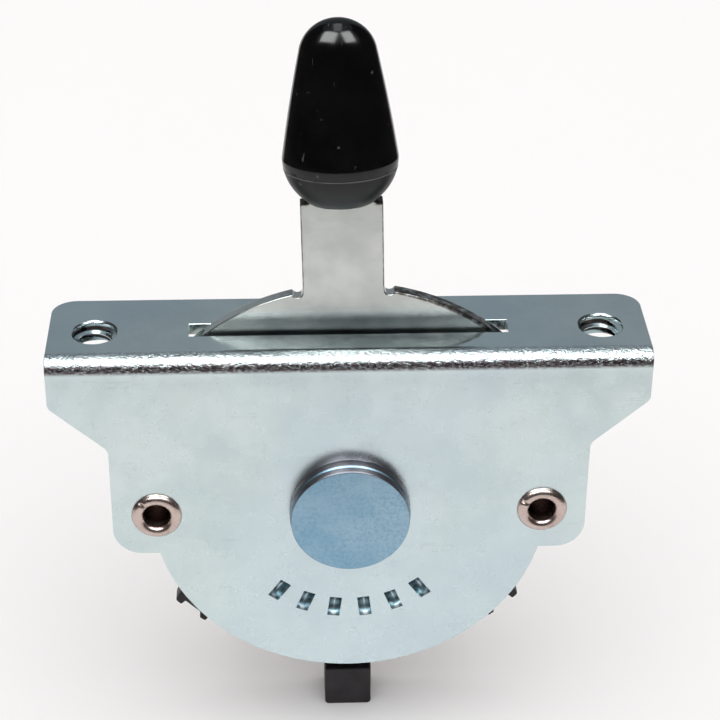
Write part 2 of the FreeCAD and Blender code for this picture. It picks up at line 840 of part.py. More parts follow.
def build_wafer():
    body = new_body("wafer")
    depth = size("wafer_thickness")

    def layer(name):
        return new_sketch(body, name, "XZ_Plane", offset=-wafer_front)

    left = wafer_rim(-1)
    right = wafer_rim(1)
    step = wafer_rim_radius + size("rim_step")
    left[3] += (step, -1)
    left[7] += (wafer_rim_radius, -1)
    right[4] += (step, -1)
    sector = layer("sector_outline")
    draw_outline(sector, left + right[::-1])
    pad(body, "sector", sector, depth, reverse=True)
    ears = layer("ear_outline")
    half = eyelet_across + size("ear_margin")
    draw_rectangle(ears, -half, -size("ear_bottom"), half, size("ear_top"))
    pad(body, "ears", ears, depth, reverse=True)
    middle = plain(wafer_front + depth / 2)
    round_edges(body, "ear_corners",
                [(side * plain(half), middle, level)
                 for side in (-1, 1)
                 for level in (-plain(size("ear_bottom")), plain(size("ear_top")))],
                size("ear_round"))

    foot = new_sketch(body, "foot_outline", "XZ_Plane",
                      offset=size("foot_reach") - wafer_front)
    half_foot = size("foot_width") / 2
    foot_top = -wafer_rim_radius - size("foot_drop")
    foot_bottom = foot_top - size("foot_height")
    draw_rectangle(foot, -half_foot, foot_bottom, half_foot, foot_top)
    pad(body, "foot", foot, size("foot_reach") + depth, reverse=True)
    neck = layer("neck_outline")
    draw_rectangle(neck, -half_foot, foot_top, half_foot, half_foot - wafer_rim_radius)
    pad(body, "neck", neck, depth, reverse=True)
    foot_middle = plain(wafer_back - (size("foot_reach") + depth) / 2)
    round_edges(body, "foot_corners",
                [(side * plain(half_foot), foot_middle, plain(foot_bottom)) for side in (-1, 1)],
                size("foot_round"))

    bores = layer("wafer_bores")
    draw_circle(bores, zero, zero, size("rotor_diameter") / 2 + size("rotor_clearance"))
    for side in (-1, 1):
        draw_circle(bores, eyelet_across * side, -size("eyelet_drop"), eyelet_hole)
    for angle, side in terminal_angles():
        across, up = polar(rivet_radius, angle, side)
        draw_circle(bores, across, up, size("rivet_diameter") / 2 + size("rivet_fit"))
    cut(body, "through_bores", bores, depth)
    sinks = layer("rivet_sinks")
    for angle, side in terminal_angles():
        across, up = polar(rivet_radius, angle, side)
        draw_circle(sinks, across, up, size("rivet_head_diameter") / 2 + size("rivet_fit"))
    cut(body, "counterbores", sinks, size("rivet_head_height"))


def terminal_angle(number):
    """Angle from straight down of a terminal: an odd number of detent steps."""
    return size("detent_step_angle") * (2 * number - 1)


def terminal_angles():
    """Angle and side of every terminal."""
    return [(terminal_angle(number), side)
            for side in (-1, 1) for number in range(1, TERMINALS_PER_SIDE + 1)]


def build_rotor():
    """Moulded disc in the wafer's bore, with two drive pins in front and studs behind."""
    body = new_body("rotor", leaning=True)
    disc = new_sketch(body, "disc_outline", "XZ_Plane", offset=-rotor_front)
    draw_circle(disc, zero, zero, size("rotor_diameter") / 2)
    pad(body, "disc", disc, rotor_back - rotor_front, reverse=True)
    hub = new_sketch(body, "rotor_hub_outline", "XZ_Plane", offset=-rotor_back)
    draw_circle(hub, zero, zero, size("rotor_hub_diameter") / 2)
    pad(body, "rotor_hub", hub, size("rotor_hub_height"), reverse=True)
    pins = new_sketch(body, "pin_outlines", "XZ_Plane", offset=-rotor_front)
    for side in (-1, 1):
        pin = size("drive_pin_diameter") / 2
        draw_circle(pins, size("drive_pin_radius") * side, zero, pin)
    pad(body, "drive_pins", pins, size("lever_thickness"))
    studs = new_sketch(body, "stud_outlines", "XZ_Plane", offset=-rotor_back)
    for across, up in stud_places():
        draw_circle(studs, across, up, size("stud_diameter") / 2)
    pad(body, "studs", studs, size("blade_thickness") + size("stud_height"), reverse=True)
    bore = new_sketch(body, "rotor_bore_outline", "XZ_Plane", offset=-rotor_front)
    draw_circle(bore, zero, zero, post_hole)
    cut(body, "rotor_bore", bore, hub_back - rotor_front)


def stud_places():
    """Two studs for each blade, near the ends of its inner track."""
    radius = (blade_inner + blade_track) / 2
    inset = size("stud_inset_angle")
    return [polar(radius, angle, side)
            for side in (-1, 1)
            for angle in (size("blade_start_angle") + inset, size("blade_end_angle") - inset)]


def build_blade(name, side):
    """Contact blade: a narrow inner track for the common, one broad lobe for the throws."""
    body = new_body(name, leaning=True)
    start = size("blade_start_angle")
    lobe = start + size("blade_lobe_angle")
    end = size("blade_end_angle")
    drawing = new_sketch(body, "blade_outline", "XZ_Plane", offset=-rotor_back)
    draw_outline(drawing, [
        polar(blade_outer, start, side) + (blade_outer, -side),
        polar(blade_outer, lobe, side),
        polar(blade_track, lobe, side) + (blade_track, -side),
        polar(blade_track, end, side),
        polar(blade_inner, end, side) + (blade_inner, side),
        polar(blade_inner, start, side),
    ])
    pad(body, "blade", drawing, size("blade_thickness"), reverse=True)
    holes = new_sketch(body, "stud_holes", "XZ_Plane", offset=-rotor_back)
    for across, up in stud_places():
        if (across.number > 0) == (side > 0):
            draw_circle(holes, across, up, size("stud_diameter") / 2 + size("stud_fit"))
    cut(body, "stud_bores", holes, size("blade_thickness"))


def build_terminal(name, angle, side, finger_radius):
    """One strip: a finger over the rotor, a pad riveted to the wafer, a lug bent rearward."""
    turn = -angle * side
    body = new_body(name, turn=turn)
    strip = size("terminal_thickness")
    pad_back = wafer_back + strip
    finger_front = rotor_back + size("blade_thickness") + size("finger_lift")
    finger_back = finger_front + strip
    lug_end = wafer_back + size("lug_length")
    lug_under = -lug_radius - strip
    profile = new_sketch(body, "strip_profile", "YZ_Plane")
    draw_outline(profile, [
        (finger_front, -finger_radius),
        (finger_front, strip - pad_inner),
        (wafer_back, -pad_inner),
        (wafer_back, lug_under),
        (lug_end, lug_under),
        (lug_end, -lug_radius),
        (pad_back, -lug_radius),
        (pad_back, -pad_inner),
        (finger_back, strip - pad_inner),
        (finger_back, -finger_radius),
    ])
    pad(body, "strip", profile, size("terminal_width"), both=True)
    half = size("terminal_width") / 2
    narrow = size("finger_width") / 2
    beside = new_sketch(body, "finger_sides", "XZ_Plane", offset=-wafer_back)
    for edge in (-1, 1):
        draw_outline(beside, [
            (size("terminal_width") * edge, zero),
            (narrow * edge, zero),
            (narrow * edge, strip - pad_inner),
            (half * edge, -pad_inner),
            (size("terminal_width") * edge, -pad_inner),
        ])
    cut(body, "finger", beside, finger_back - wafer_back)
    rivet = new_sketch(body, "rivet_hole_outline", "XZ_Plane", offset=-wafer_back)
    rivet_hole = size("rivet_diameter") / 2 + size("rivet_fit")
    draw_circle(rivet, zero, -rivet_radius, rivet_hole)
    cut(body, "rivet_hole", rivet, strip)
    wire = new_sketch(body, "wire_hole_outline", "XY_Plane", offset=-lug_radius)
    end = lug_end - size("lug_hole_inset")
    radius = size("lug_hole_width") / 2
    draw_outline(wire, [
        (-radius, end - size("lug_hole_length") + radius),
        (-radius, end - radius, radius, 1),
        (radius, end - radius),
        (radius, end - size("lug_hole_length") + radius, radius, 1),
    ])
    cut(body, "wire_hole", wire, strip)


def build_terminals():
    words = {-1: "left", 1: "right"}
    common_finger = blade_inner + size("common_finger_lap")
    throw_finger = blade_track + size("throw_finger_gap")
    for side in (-1, 1):
        for number in range(1, TERMINALS_PER_SIDE + 1):
            common = number == COMMON_TERMINAL
            title = "common" if common else "throw_%d" % number
            reach = common_finger if common else throw_finger
            build_terminal("%s_%s_terminal" % (words[side], title),
                           terminal_angle(number), side, reach)


def build_terminal_rivets():
    """One rivet for each terminal, its front head sunk in the wafer."""
    body = new_body("rivet_form")
    head = size("rivet_head_diameter") / 2
    shank = size("rivet_diameter") / 2
    tall = size("rivet_head_height")
    outer_face = wafer_back + size("terminal_thickness")
    profile = new_sketch(body, "rivet_profile", "YZ_Plane")
    draw_outline(profile, [
        (wafer_front, zero),
        (wafer_front, head),
        (wafer_front + tall, head),
        (wafer_front + tall, shank),
        (outer_face, shank),
        (outer_face, head),
        (outer_face + tall / 2, head),
        (outer_face + tall, shank),
        (outer_face + tall, zero),
    ])
    revolve(body, "rivet_turned", profile)
    document.recompute()
    copies = []
    for angle, side in terminal_angles():
        across, up = polar(rivet_radius, angle, side)
        copy = body.Shape.copy()
        copy.translate(Vector(across.number, 0, up.number))
        copies.append(copy)
    rivets = document.addObject("Part::Feature", "terminal_rivets")
    rivets.Label = "terminal_rivets"
    rivets.Shape = Part.makeCompound(copies)


def build_switch():
    build_frame()
    build_pivot_post()
    build_pivot_bush()
    build_thrust_washer()
    build_retaining_ring()
    build_lever()
    build_lever_tip()
    build_detent_ball()
    build_detent_clip()
    for word, side in (("left", -1), ("right", 1)):
        build_eyelet(word + "_eyelet", side)
        build_spacer(word + "_spacer", side)
        build_blade(word + "_blade", side)
    build_wafer()
    build_rotor()
    build_terminals()
    build_terminal_rivets()
    document.recompute()


def check_document():
    for item in document.Objects:
        faults = [word for word in item.State if word in ("Invalid", "Error")]
        if faults:
            raise ValueError("%s is %s" % (item.Name, ", ".join(faults)))


def sub_parts():
    kinds = ("PartDesign::Body", "Part::Sphere", "Part::Feature")
    hidden = ("rivet_form",)
    return [item for item in document.Objects
            if item.TypeId in kinds and item.Name not in hidden]


def write_parts():
    os.makedirs("parts", exist_ok=True)
    pieces = sub_parts()
    for piece in pieces:
        if piece.Shape.isNull() or not piece.Shape.isValid():
            raise ValueError(piece.Label + " has no sound shape")
    for piece in pieces:
        piece.Shape.exportStep("parts/%s.step" % piece.Label)
        box = piece.Shape.BoundBox
        print("%-26s %d solids %8.2f mm3  x %6.2f %6.2f  y %6.2f %6.2f  z %6.2f %6.2f" % (
            piece.Label, len(piece.Shape.Solids), piece.Shape.Volume,
            box.XMin, box.XMax, box.YMin, box.YMax, box.ZMin, box.ZMax))


build_switch()
check_document()
write_parts()
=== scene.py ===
"""Looks of a five-position lever switch: finishes, fine shapes, studio and camera.

Lengths are millimetres in the object's own frame until a mesh is written, where they
become metres. +X is right, +Y to the rear and +Z up. The origin lies midway between the
two mounting holes, on the flange's top face.
"""

import logging
import math
from collections.abc import Callable, Sequence
from dataclasses import dataclass, field
from enum import Enum

import bmesh
import bpy
import numpy as np
from mathutils import Matrix, Vector


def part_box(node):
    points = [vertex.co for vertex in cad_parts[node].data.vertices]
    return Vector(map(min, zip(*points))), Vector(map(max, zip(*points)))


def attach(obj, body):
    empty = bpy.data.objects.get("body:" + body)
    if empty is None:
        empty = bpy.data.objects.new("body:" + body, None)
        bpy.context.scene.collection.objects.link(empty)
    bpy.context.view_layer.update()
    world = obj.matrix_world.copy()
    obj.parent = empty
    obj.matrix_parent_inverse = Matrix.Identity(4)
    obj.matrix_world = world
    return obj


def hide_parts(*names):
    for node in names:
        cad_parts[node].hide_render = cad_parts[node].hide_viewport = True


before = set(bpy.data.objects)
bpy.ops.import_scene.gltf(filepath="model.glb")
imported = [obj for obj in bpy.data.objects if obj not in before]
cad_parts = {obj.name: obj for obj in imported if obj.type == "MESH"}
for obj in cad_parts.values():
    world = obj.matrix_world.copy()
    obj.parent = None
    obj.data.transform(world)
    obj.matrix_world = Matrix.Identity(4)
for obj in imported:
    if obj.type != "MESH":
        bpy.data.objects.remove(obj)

logger = logging.getLogger("switch")

METRES = 0.001
FULL_TURN = 2.0 * math.pi

# Meshes: distances in metres, angles in degrees
SAME_POINT = 1e-7
SAME_CAD_POINT = 2e-6
FLAT_ANGLE = 0.6
CREASE_ANGLE = 32.0

# Working axes, and sizes that shapes and finishes share
PIVOT_DROP = 14.85
PLATE_FACE = -4.6
LEVER_LEAN = math.radians(1.3)
EYELET_ACROSS = 16.05
EYELET_DROP = 15.05
HOLE_ACROSS = 20.65
THREAD_OUTER = 1.765
BALL_PATH = 10.15
STRIP_STEP = math.radians(14.4)
SIDES = (("left", -1), ("right", 1))

Socket = bpy.types.NodeSocket
Value = float | tuple[float, ...] | bpy.types.NodeSocket
Colour = tuple[float, float, float]
Reach = tuple[float, float]


class Grain(Enum):
    """Which way the fine lines of a worked surface run, as stretches along X, Y and Z."""

    NONE = (1.0, 1.0, 1.0)
    UPRIGHT = (1.0, 1.0, 0.045)
    ACROSS = (0.045, 1.0, 1.0)


class Body(Enum):
    """The bodies that a piece can ride on."""

    FIXED = "root"
    LEVER = "lever_body"
    BALL = "ball_body"


# ---------------------------------------------------------------------------------------
# Surfaces worked out as whole arrays
# ---------------------------------------------------------------------------------------


def smooth_step(low: float, high: float, values: np.ndarray) -> np.ndarray:
    """0 below low, 1 above high, and a smooth rise between them."""
    share = np.clip((values - low) / (high - low), 0.0, 1.0)
    return share * share * (3.0 - 2.0 * share)


def soften_profile(corners: np.ndarray, radius: float, steps: int = 4) -> np.ndarray:
    """Round the inner corners of an open profile.

    Each corner c is replaced by the curve (1-t)^2 a + 2t(1-t) c + t^2 b, where a and b
    lie one radius away along the two sides, or halfway along a shorter side.

    Args:
        corners: Points along the profile, one row each.
        radius: How far the rounding reaches along each side.
        steps: Points that replace each corner.

    Returns:
        The denser profile, with the two end points kept.
    """
    before, here, after = corners[:-2], corners[1:-1], corners[2:]
    towards_back, towards_next = before - here, after - here
    back_length = np.linalg.norm(towards_back, axis=1, keepdims=True)
    next_length = np.linalg.norm(towards_next, axis=1, keepdims=True)
    start = here + towards_back * np.minimum(radius / back_length, 0.5)
    end = here + towards_next * np.minimum(radius / next_length, 0.5)
    share = np.linspace(0.0, 1.0, steps)[None, :, None]
    curve = (
        (1 - share) ** 2 * start[:, None]
        + 2 * share * (1 - share) * here[:, None]
        + share**2 * end[:, None]
    )
    return np.vstack([corners[:1], curve.reshape(-1, corners.shape[1]), corners[-1:]])


def grid_faces(rows: int, columns: int, rows_closed: bool, columns_closed: bool) -> np.ndarray:
    """Four-sided faces of a grid of points counted row by row.

    Args:
        rows: Number of rows.
        columns: Number of columns.
        rows_closed: Whether the last row joins the first.
        columns_closed: Whether the last column joins the first.

    Returns:
        One row of four point numbers for each face.
    """
    row = np.arange(rows if rows_closed else rows - 1)[:, None]
    column = np.arange(columns if columns_closed else columns - 1)[None, :]
    next_row, next_column = (row + 1) % rows, (column + 1) % columns
    corners = [
        row * columns + column,
        row * columns + next_column,
        next_row * columns + next_column,
        next_row * columns + column,
    ]
    return np.stack(np.broadcast_arrays(*corners), axis=-1).reshape(-1, 4)


def surface(across: np.ndarray, along: np.ndarray, up: np.ndarray) -> np.ndarray:
    """Grid of points whose X, Y and Z are each spread over the same rows and columns."""
    return np.stack(np.broadcast_arrays(across, along, up), axis=-1)


@dataclass
class Sheet:
    """A surface over two parameters: a grid of points, with either side joined up."""

    points: np.ndarray
    rows_closed: bool = False
    columns_closed: bool = True

    def faces(self) -> np.ndarray:
        """Faces of the grid."""
        rows, columns = self.points.shape[:2]
        return grid_faces(rows, columns, self.rows_closed, self.columns_closed)


def write_mesh(name: str, sheets: Sequence[Sheet], sharp: float = 40.0) -> bpy.types.Object:
    """Make one object of some sheets, with coinciding points joined and normals outward.

    Args:
        name: Name of the piece.
        sheets: Its surfaces, in millimetres.
        sharp: Angle in degrees above which an edge is shaded as a crease.

    Returns:
        The object, at the origin, its mesh in metres.
    """
    starts = np.cumsum([0] + [sheet.points.reshape(-1, 3).shape[0] for sheet in sheets])
    points = np.vstack([sheet.points.reshape(-1, 3) for sheet in sheets]) * METRES
    faces = np.vstack([sheet.faces() + start for sheet, start in zip(sheets, starts)])
    mesh = bpy.data.meshes.new(name)
    mesh.from_pydata(points.tolist(), [], faces.tolist())
    tidy = bmesh.new()
    tidy.from_mesh(mesh)
    bmesh.ops.remove_doubles(tidy, verts=tidy.verts, dist=SAME_POINT)
    bmesh.ops.recalc_face_normals(tidy, faces=tidy.faces)
    tidy.to_mesh(mesh)
    tidy.free()
    mesh.shade_smooth()
    mesh.set_sharp_from_angle(angle=math.radians(sharp))
    made = bpy.data.objects.new(name, mesh)
    bpy.context.scene.collection.objects.link(made)
    return made


def turned(
    profile: np.ndarray, across: float, up: float, columns: int = 128, closed: bool = False
) -> Sheet:
    """Turn a profile about an axis that runs front to rear.

    The point at station s and angle a is (across + r(s) sin a, y(s), up + r(s) cos a).

    Args:
        profile: Rows of (y, radius).
        across: The axis's X.
        up: The axis's Z.
        columns: Points round the axis.
        closed: Whether the profile is a loop, as a tube's wall is.

    Returns:
        The surface.
    """
    angle = np.linspace(0.0, FULL_TURN, columns, endpoint=False)[None, :]
    along, radius = profile[:, :1], profile[:, 1:]
    points = surface(across + radius * np.sin(angle), along, up + radius * np.cos(angle))
    return Sheet(points, rows_closed=closed)


def tube(
    front: float, back: float, bore: float, outside: float, edge: float, across: float, up: float
) -> Sheet:
    """Tube with softened edges: a rectangle of (y, radius) turned about the axis.

    Args:
        front: Y of the front end.
        back: Y of the rear end.
        bore: Inner radius.
        outside: Outer radius.
        edge: Rounding of the four edges.
        across: The axis's X.
        up: The axis's Z.

    Returns:
        The closed wall.
    """
    middle = (bore + outside) / 2
    corners = np.array(
        [
            (front, middle),
            (front, outside),
            (back, outside),
            (back, bore),
            (front, bore),
            (front, middle),
        ]
    )
    return turned(soften_profile(corners, edge)[:-1], across, up, closed=True)


def leaned(points: np.ndarray) -> np.ndarray:
    """Turn points of the lever's own frame by its lean and move them to the pivot's axis.

    Args:
        points: Points of the upright lever, with the pivot's axis at the origin.

    Returns:
        The points in the object's frame.
    """
    sine, cosine = math.sin(-LEVER_LEAN), math.cos(LEVER_LEAN)
    across, along, up = np.moveaxis(points, -1, 0)
    return surface(cosine * across + sine * up, along, cosine * up - sine * across - PIVOT_DROP)


# ---------------------------------------------------------------------------------------
# Finishes
# ---------------------------------------------------------------------------------------


class Graph:
    """Shader nodes of one finish. Places are read in millimetres of the object's frame."""

    def __init__(self, name: str) -> None:
        """Start a material with a surface shader and the object's own coordinates.

        Args:
            name: Name of the material.
        """
        self.material = bpy.data.materials.new(name)
        self.material.use_nodes = True
        self.tree = self.material.node_tree
        self.tree.nodes.clear()
        self.surface = self.tree.nodes.new("ShaderNodeBsdfPrincipled")
        output = self.tree.nodes.new("ShaderNodeOutputMaterial")
        self.tree.links.new(self.surface.outputs[0], output.inputs["Surface"])
        place = self.tree.nodes.new("ShaderNodeTexCoord").outputs["Object"]
        self.place = self.vector("MULTIPLY", place, (1.0 / METRES,) * 3)
        parts = self.tree.nodes.new("ShaderNodeSeparateXYZ")
        self.tree.links.new(self.place, parts.inputs[0])
        self.across, self.along, self.up = parts.outputs

    def put(self, socket: Socket, value: Value) -> None:
        """Link a socket to another, or set its own value.

        Args:
            socket: The socket to feed.
            value: An output socket, a number or a tuple.
        """
        if isinstance(value, bpy.types.NodeSocket):
            self.tree.links.new(value, socket)
        elif socket.type == "RGBA" and len(value) == 3:
            socket.default_value = (*value, 1.0)
        else:
            socket.default_value = value

    def node(self, kind: str, inputs: dict, output: int | str = 0, **settings: object) -> Socket:
        """Add a node.

        Args:
            kind: Type of the node.
            inputs: Values or links by socket name or number.
            output: Which output to hand back.
            **settings: The node's own properties.

        Returns:
            The chosen output.
        """
        made = self.tree.nodes.new(kind)
        for key, value in settings.items():
            setattr(made, key, value)
        for key, value in inputs.items():
            self.put(made.inputs[key], value)
        return made.outputs[output]

    def math(self, operation: str, first: Value, second: Value = 0.0) -> Socket:
        """One sum of two numbers."""
        return self.node("ShaderNodeMath", {0: first, 1: second}, operation=operation)

    def times(self, first: Value, second: Value) -> Socket:
        """Product of two numbers."""
        return self.math("MULTIPLY", first, second)

    def plus(self, first: Value, second: Value) -> Socket:
        """Sum of two numbers."""
        return self.math("ADD", first, second)

    def minus(self, first: Value, second: Value) -> Socket:
        """Difference of two numbers."""
        return self.math("SUBTRACT", first, second)

    def larger(self, first: Value, second: Value) -> Socket:
        """Larger of two numbers."""
        return self.math("MAXIMUM", first, second)

    def apart(self, first: Value, second: Value) -> Socket:
        """How far two numbers lie apart."""
        return self.math("ABSOLUTE", self.minus(first, second))

    def hypotenuse(self, first: Value, second: Value) -> Socket:
        """Root of the sum of two squares."""
        return self.math("SQRT", self.plus(self.times(first, first), self.times(second, second)))

    def over_pivot(self) -> Socket:
        """Height above the pivot's axis."""
        return self.plus(self.up, PIVOT_DROP)

    def vector(self, operation: str, first: Value, second: Value) -> Socket:
        """One sum of two vectors."""
        return self.node("ShaderNodeVectorMath", {0: first, 1: second}, operation=operation)

    def levels(
        self, value: Value, low: float, high: float, start: Value = 0.0, end: Value = 1.0
    ) -> Socket:
        """Carry a range of numbers smoothly to another, held at both ends.

        Args:
            value: What is measured.
            low: Value that gives start.
            high: Value that gives end.
            start: Result at or below low.
            end: Result at or above high.

        Returns:
            The result.
        """
        inputs = {"Value": value, "From Min": low, "From Max": high, "To Min": start, "To Max": end}
        return self.node("ShaderNodeMapRange", inputs, interpolation_type="SMOOTHSTEP")

    def blend(self, share: Value, first: Value, second: Value) -> Socket:
        """Colour between two others."""
        inputs = {0: share, 6: first, 7: second}
        return self.node("ShaderNodeMix", inputs, output=2, data_type="RGBA")

    def noise(
        self,
        size: float,
        detail: float = 4.0,
        stretch: tuple[float, float, float] = (1.0, 1.0, 1.0),
        shift: float = 0.0,
        roughness: float = 0.5,
    ) -> Socket:
        """Cloudy pattern from 0 to 1.

        Args:
            size: Width of the largest clouds, in millimetres.
            detail: How many finer layers are added.
            stretch: Scale of the pattern's place along each axis.
            shift: Moves the pattern, so that two of one size differ.
            roughness: Weight of the finer layers.

        Returns:
            The pattern.
        """
        place = self.vector("MULTIPLY", self.place, stretch)
        place = self.vector("ADD", place, (shift * 17.0, shift * 31.0, shift * 53.0))
        inputs = {
            "Vector": place,
            "Scale": 1.0 / size,
            "Detail": detail,
            "Roughness": roughness,
        }
        return self.node("ShaderNodeTexNoise", inputs)

    def lines(
        self, size: float, width: float, stretch: tuple[float, float, float], shift: float
    ) -> Socket:
        """Thin lines where a stretched cloudy pattern crosses its middle value.

        Args:
            size: Spacing of the lines, in millimetres.
            width: Share of the pattern's range that counts as a line.
            stretch: Scale of the pattern's place along each axis.
            shift: Moves the pattern.

        Returns:
            1 on a line and 0 beside it.
        """
        away = self.apart(self.noise(size, 1.5, stretch, shift), 0.5)
        return self.levels(away, 0.0, width, 1.0, 0.0)

    def specks(self, spacing: float, radius: float, shift: float) -> Socket:
        """Small round spots scattered evenly.

        Args:
            spacing: Distance between spots, in millimetres.
            radius: Radius of a spot as a share of the spacing.
            shift: Moves the pattern.

        Returns:
            1 in a spot and 0 outside.
        """
        place = self.vector("ADD", self.place, (shift * 11.0, shift * 7.0, shift * 5.0))
        inputs = {"Vector": place, "Scale": 1.0 / spacing}
        distance = self.node("ShaderNodeTexVoronoi", inputs, output="Distance")
        return self.levels(distance, radius * 0.6, radius, 1.0, 0.0)

    def relief(self, height: Value, depth: float, below: Socket | None = None) -> Socket:
        """Fine relief as a change of the shading normal.

        Args:
            height: Pattern from 0 to 1.
            depth: Millimetres between its lowest and highest places.
            below: Normal of a coarser relief underneath.

        Returns:
            The normal.
        """
        inputs: dict = {"Height": height, "Distance": depth * METRES, "Strength": 1.0}
        if below is not None:
            inputs["Normal"] = below
        return self.node("ShaderNodeBump", inputs)

    def finish(
        self, colour: Value, roughness: Value, metal: float, normal: Value, specular: float = 0.5
    ) -> bpy.types.Material:
        """Feed the surface shader.

        Args:
            colour: Base colour.
            roughness: Roughness.
            metal: 1 for metal, 0 for anything else.
            normal: Shading normal.
            specular: Strength of the mirror light on anything but metal.

        Returns:
            The finished material.
        """
        inputs = {
            "Base Color": colour,
            "Roughness": roughness,
            "Metallic": metal,
            "Normal": normal,
            "Specular IOR Level": specular,
        }
        for name, value in inputs.items():
            self.put(self.surface.inputs[name], value)
        return self.material


@dataclass(frozen=True)
class PlatedSheet:
    """Zinc plate on rolled sheet: pale, cloudy, lightly scratched, grainy at the bend, with a
    painted dark reflection low on the bend and painted shade in the thread roots.
    """

    name: str = "zinc_plate_bright"
    pale: Colour = (0.64, 0.725, 0.72)
    clouded: Colour = (0.56, 0.65, 0.66)
    bluish: Colour = (0.56, 0.655, 0.71)
    stain: Colour = (0.3, 0.3, 0.3)
    # Colour of the painted dark reflection on the lower part of the bend.
    wear_and_painted_reflection: Colour = (0.1, 0.07, 0.075)
    # Colour of the painted shade in the thread roots.
    root: Colour = (0.05, 0.042, 0.04)
    roughness: Reach = (0.15, 0.22)
    front_roughness: float = 0.09
    front_reach: Reach = (-2.4, -1.0)
    wave_depth: float = 0.03
    grain_depth: float = 0.0016
    scratch_depth: float = 0.002
    crumb_depth: float = 0.1
    bend_reach: Reach = (1.1, 1.5)
    # Heights of the painted dark reflection on the bend.
    painted_reflection_reach: Reach = (-0.72, -0.42)
    root_shell: Reach = (0.02, 0.06)
    root_top: Reach = (-0.5, -0.36)

    def material(self) -> bpy.types.Material:
        """Build the finish.

        Returns:
            The material.
        """
        graph = Graph(self.name)
        clouds = graph.levels(graph.noise(6.0, 7.0, shift=1.0, roughness=0.6), 0.36, 0.66)
        colour = graph.blend(clouds, self.pale, self.clouded)
        smudges = graph.levels(graph.noise(2.4, 6.0, shift=2.0, roughness=0.65), 0.6, 0.78)
        colour = graph.blend(graph.times(smudges, 0.14), colour, self.stain)
        broad = graph.levels(graph.noise(17.0, 2.0, shift=12.0), 0.4, 0.62, 0.0, 0.5)
        colour = graph.blend(broad, colour, self.bluish)
        patches = graph.levels(graph.noise(1.9, 2.0, shift=3.0), 0.58, 0.66)
        steep = graph.lines(0.7, 0.012, (1.0, 1.0, 0.12), 4.0)
        level = graph.lines(0.8, 0.012, (0.1, 1.0, 1.0), 5.0)
        scratches = graph.times(graph.larger(steep, level), patches)
        pitted = graph.levels(graph.noise(3.1, 3.0, shift=11.0), 0.5, 0.62)
        pits = graph.times(graph.specks(0.55, 0.12, 2.0), pitted)
        marks = graph.larger(graph.times(scratches, 0.16), graph.times(pits, 0.5))
        colour = graph.blend(marks, colour, self.stain)
        # Painted dark reflection: dark grains, most of them low on the bend.
        bend = self.bend_share(graph)
        grains = graph.levels(graph.noise(0.2, 2.0, (0.6, 1.0, 1.0), shift=13.0), 0.4, 0.56)
        most = graph.levels(graph.up, *self.painted_reflection_reach, 0.95, 0.3)
        least = graph.levels(graph.up, *self.painted_reflection_reach, 0.55, 0.0)
        painted_reflection_share = graph.plus(least, graph.times(grains, graph.minus(most, least)))
        colour = graph.blend(graph.times(bend, painted_reflection_share), colour, self.wear_and_painted_reflection)
        # Painted shade on the walls of the two tapped holes, between the thread's ridges.
        colour = graph.blend(self.root_shade_share(graph), colour, self.root)
        colour = self.trim(graph, colour)
        crumbs = graph.noise(0.22, 3.0, (0.75, 1.0, 1.0), shift=8.0, roughness=0.6)
        normal = graph.relief(graph.noise(5.0, 2.0, shift=7.0), self.wave_depth)
        normal = graph.relief(graph.noise(0.16, 3.0, shift=6.0), self.grain_depth, normal)
        normal = graph.relief(graph.times(crumbs, bend), self.crumb_depth, normal)
        normal = graph.relief(graph.minus(1.0, scratches), self.scratch_depth, normal)
        roughness = graph.levels(graph.noise(2.5, 5.0, shift=9.0), 0.3, 0.7, *self.roughness)
        front = graph.levels(graph.up, *self.front_reach, self.front_roughness, 0.0)
        return graph.finish(colour, graph.plus(roughness, front), 1.0, normal)

    def trim(self, graph: Graph, colour: Socket) -> Socket:
        """Colour of single places, here as elsewhere."""
        return colour

    def root_shade_share(self, graph: Graph) -> Socket:
        """Where painted shade darkens the two threads' roots.

        Args:
            graph: The finish's nodes.

        Returns:
            1 on the walls of the two tapped holes, and 0 elsewhere.
        """
        beside = graph.minus(graph.math("ABSOLUTE", graph.across), HOLE_ACROSS)
        away = graph.apart(graph.hypotenuse(beside, graph.along), THREAD_OUTER)
        wall = graph.levels(away, *self.root_shell, 1.0, 0.0)
        return graph.times(wall, graph.levels(graph.up, *self.root_top, 1.0, 0.0))

    def bend_share(self, graph: Graph) -> Socket:
        """Where the sheet is folded between flange and plate.

        Args:
            graph: The finish's nodes.

        Returns:
            1 on the fold's outer side, and 0 elsewhere.
        """
        near, far = self.bend_reach
        high = graph.levels(graph.up, -far, -near)
        return graph.times(
            high, graph.levels(graph.along, PLATE_FACE + near, PLATE_FACE + far, 1.0, 0.0)
        )


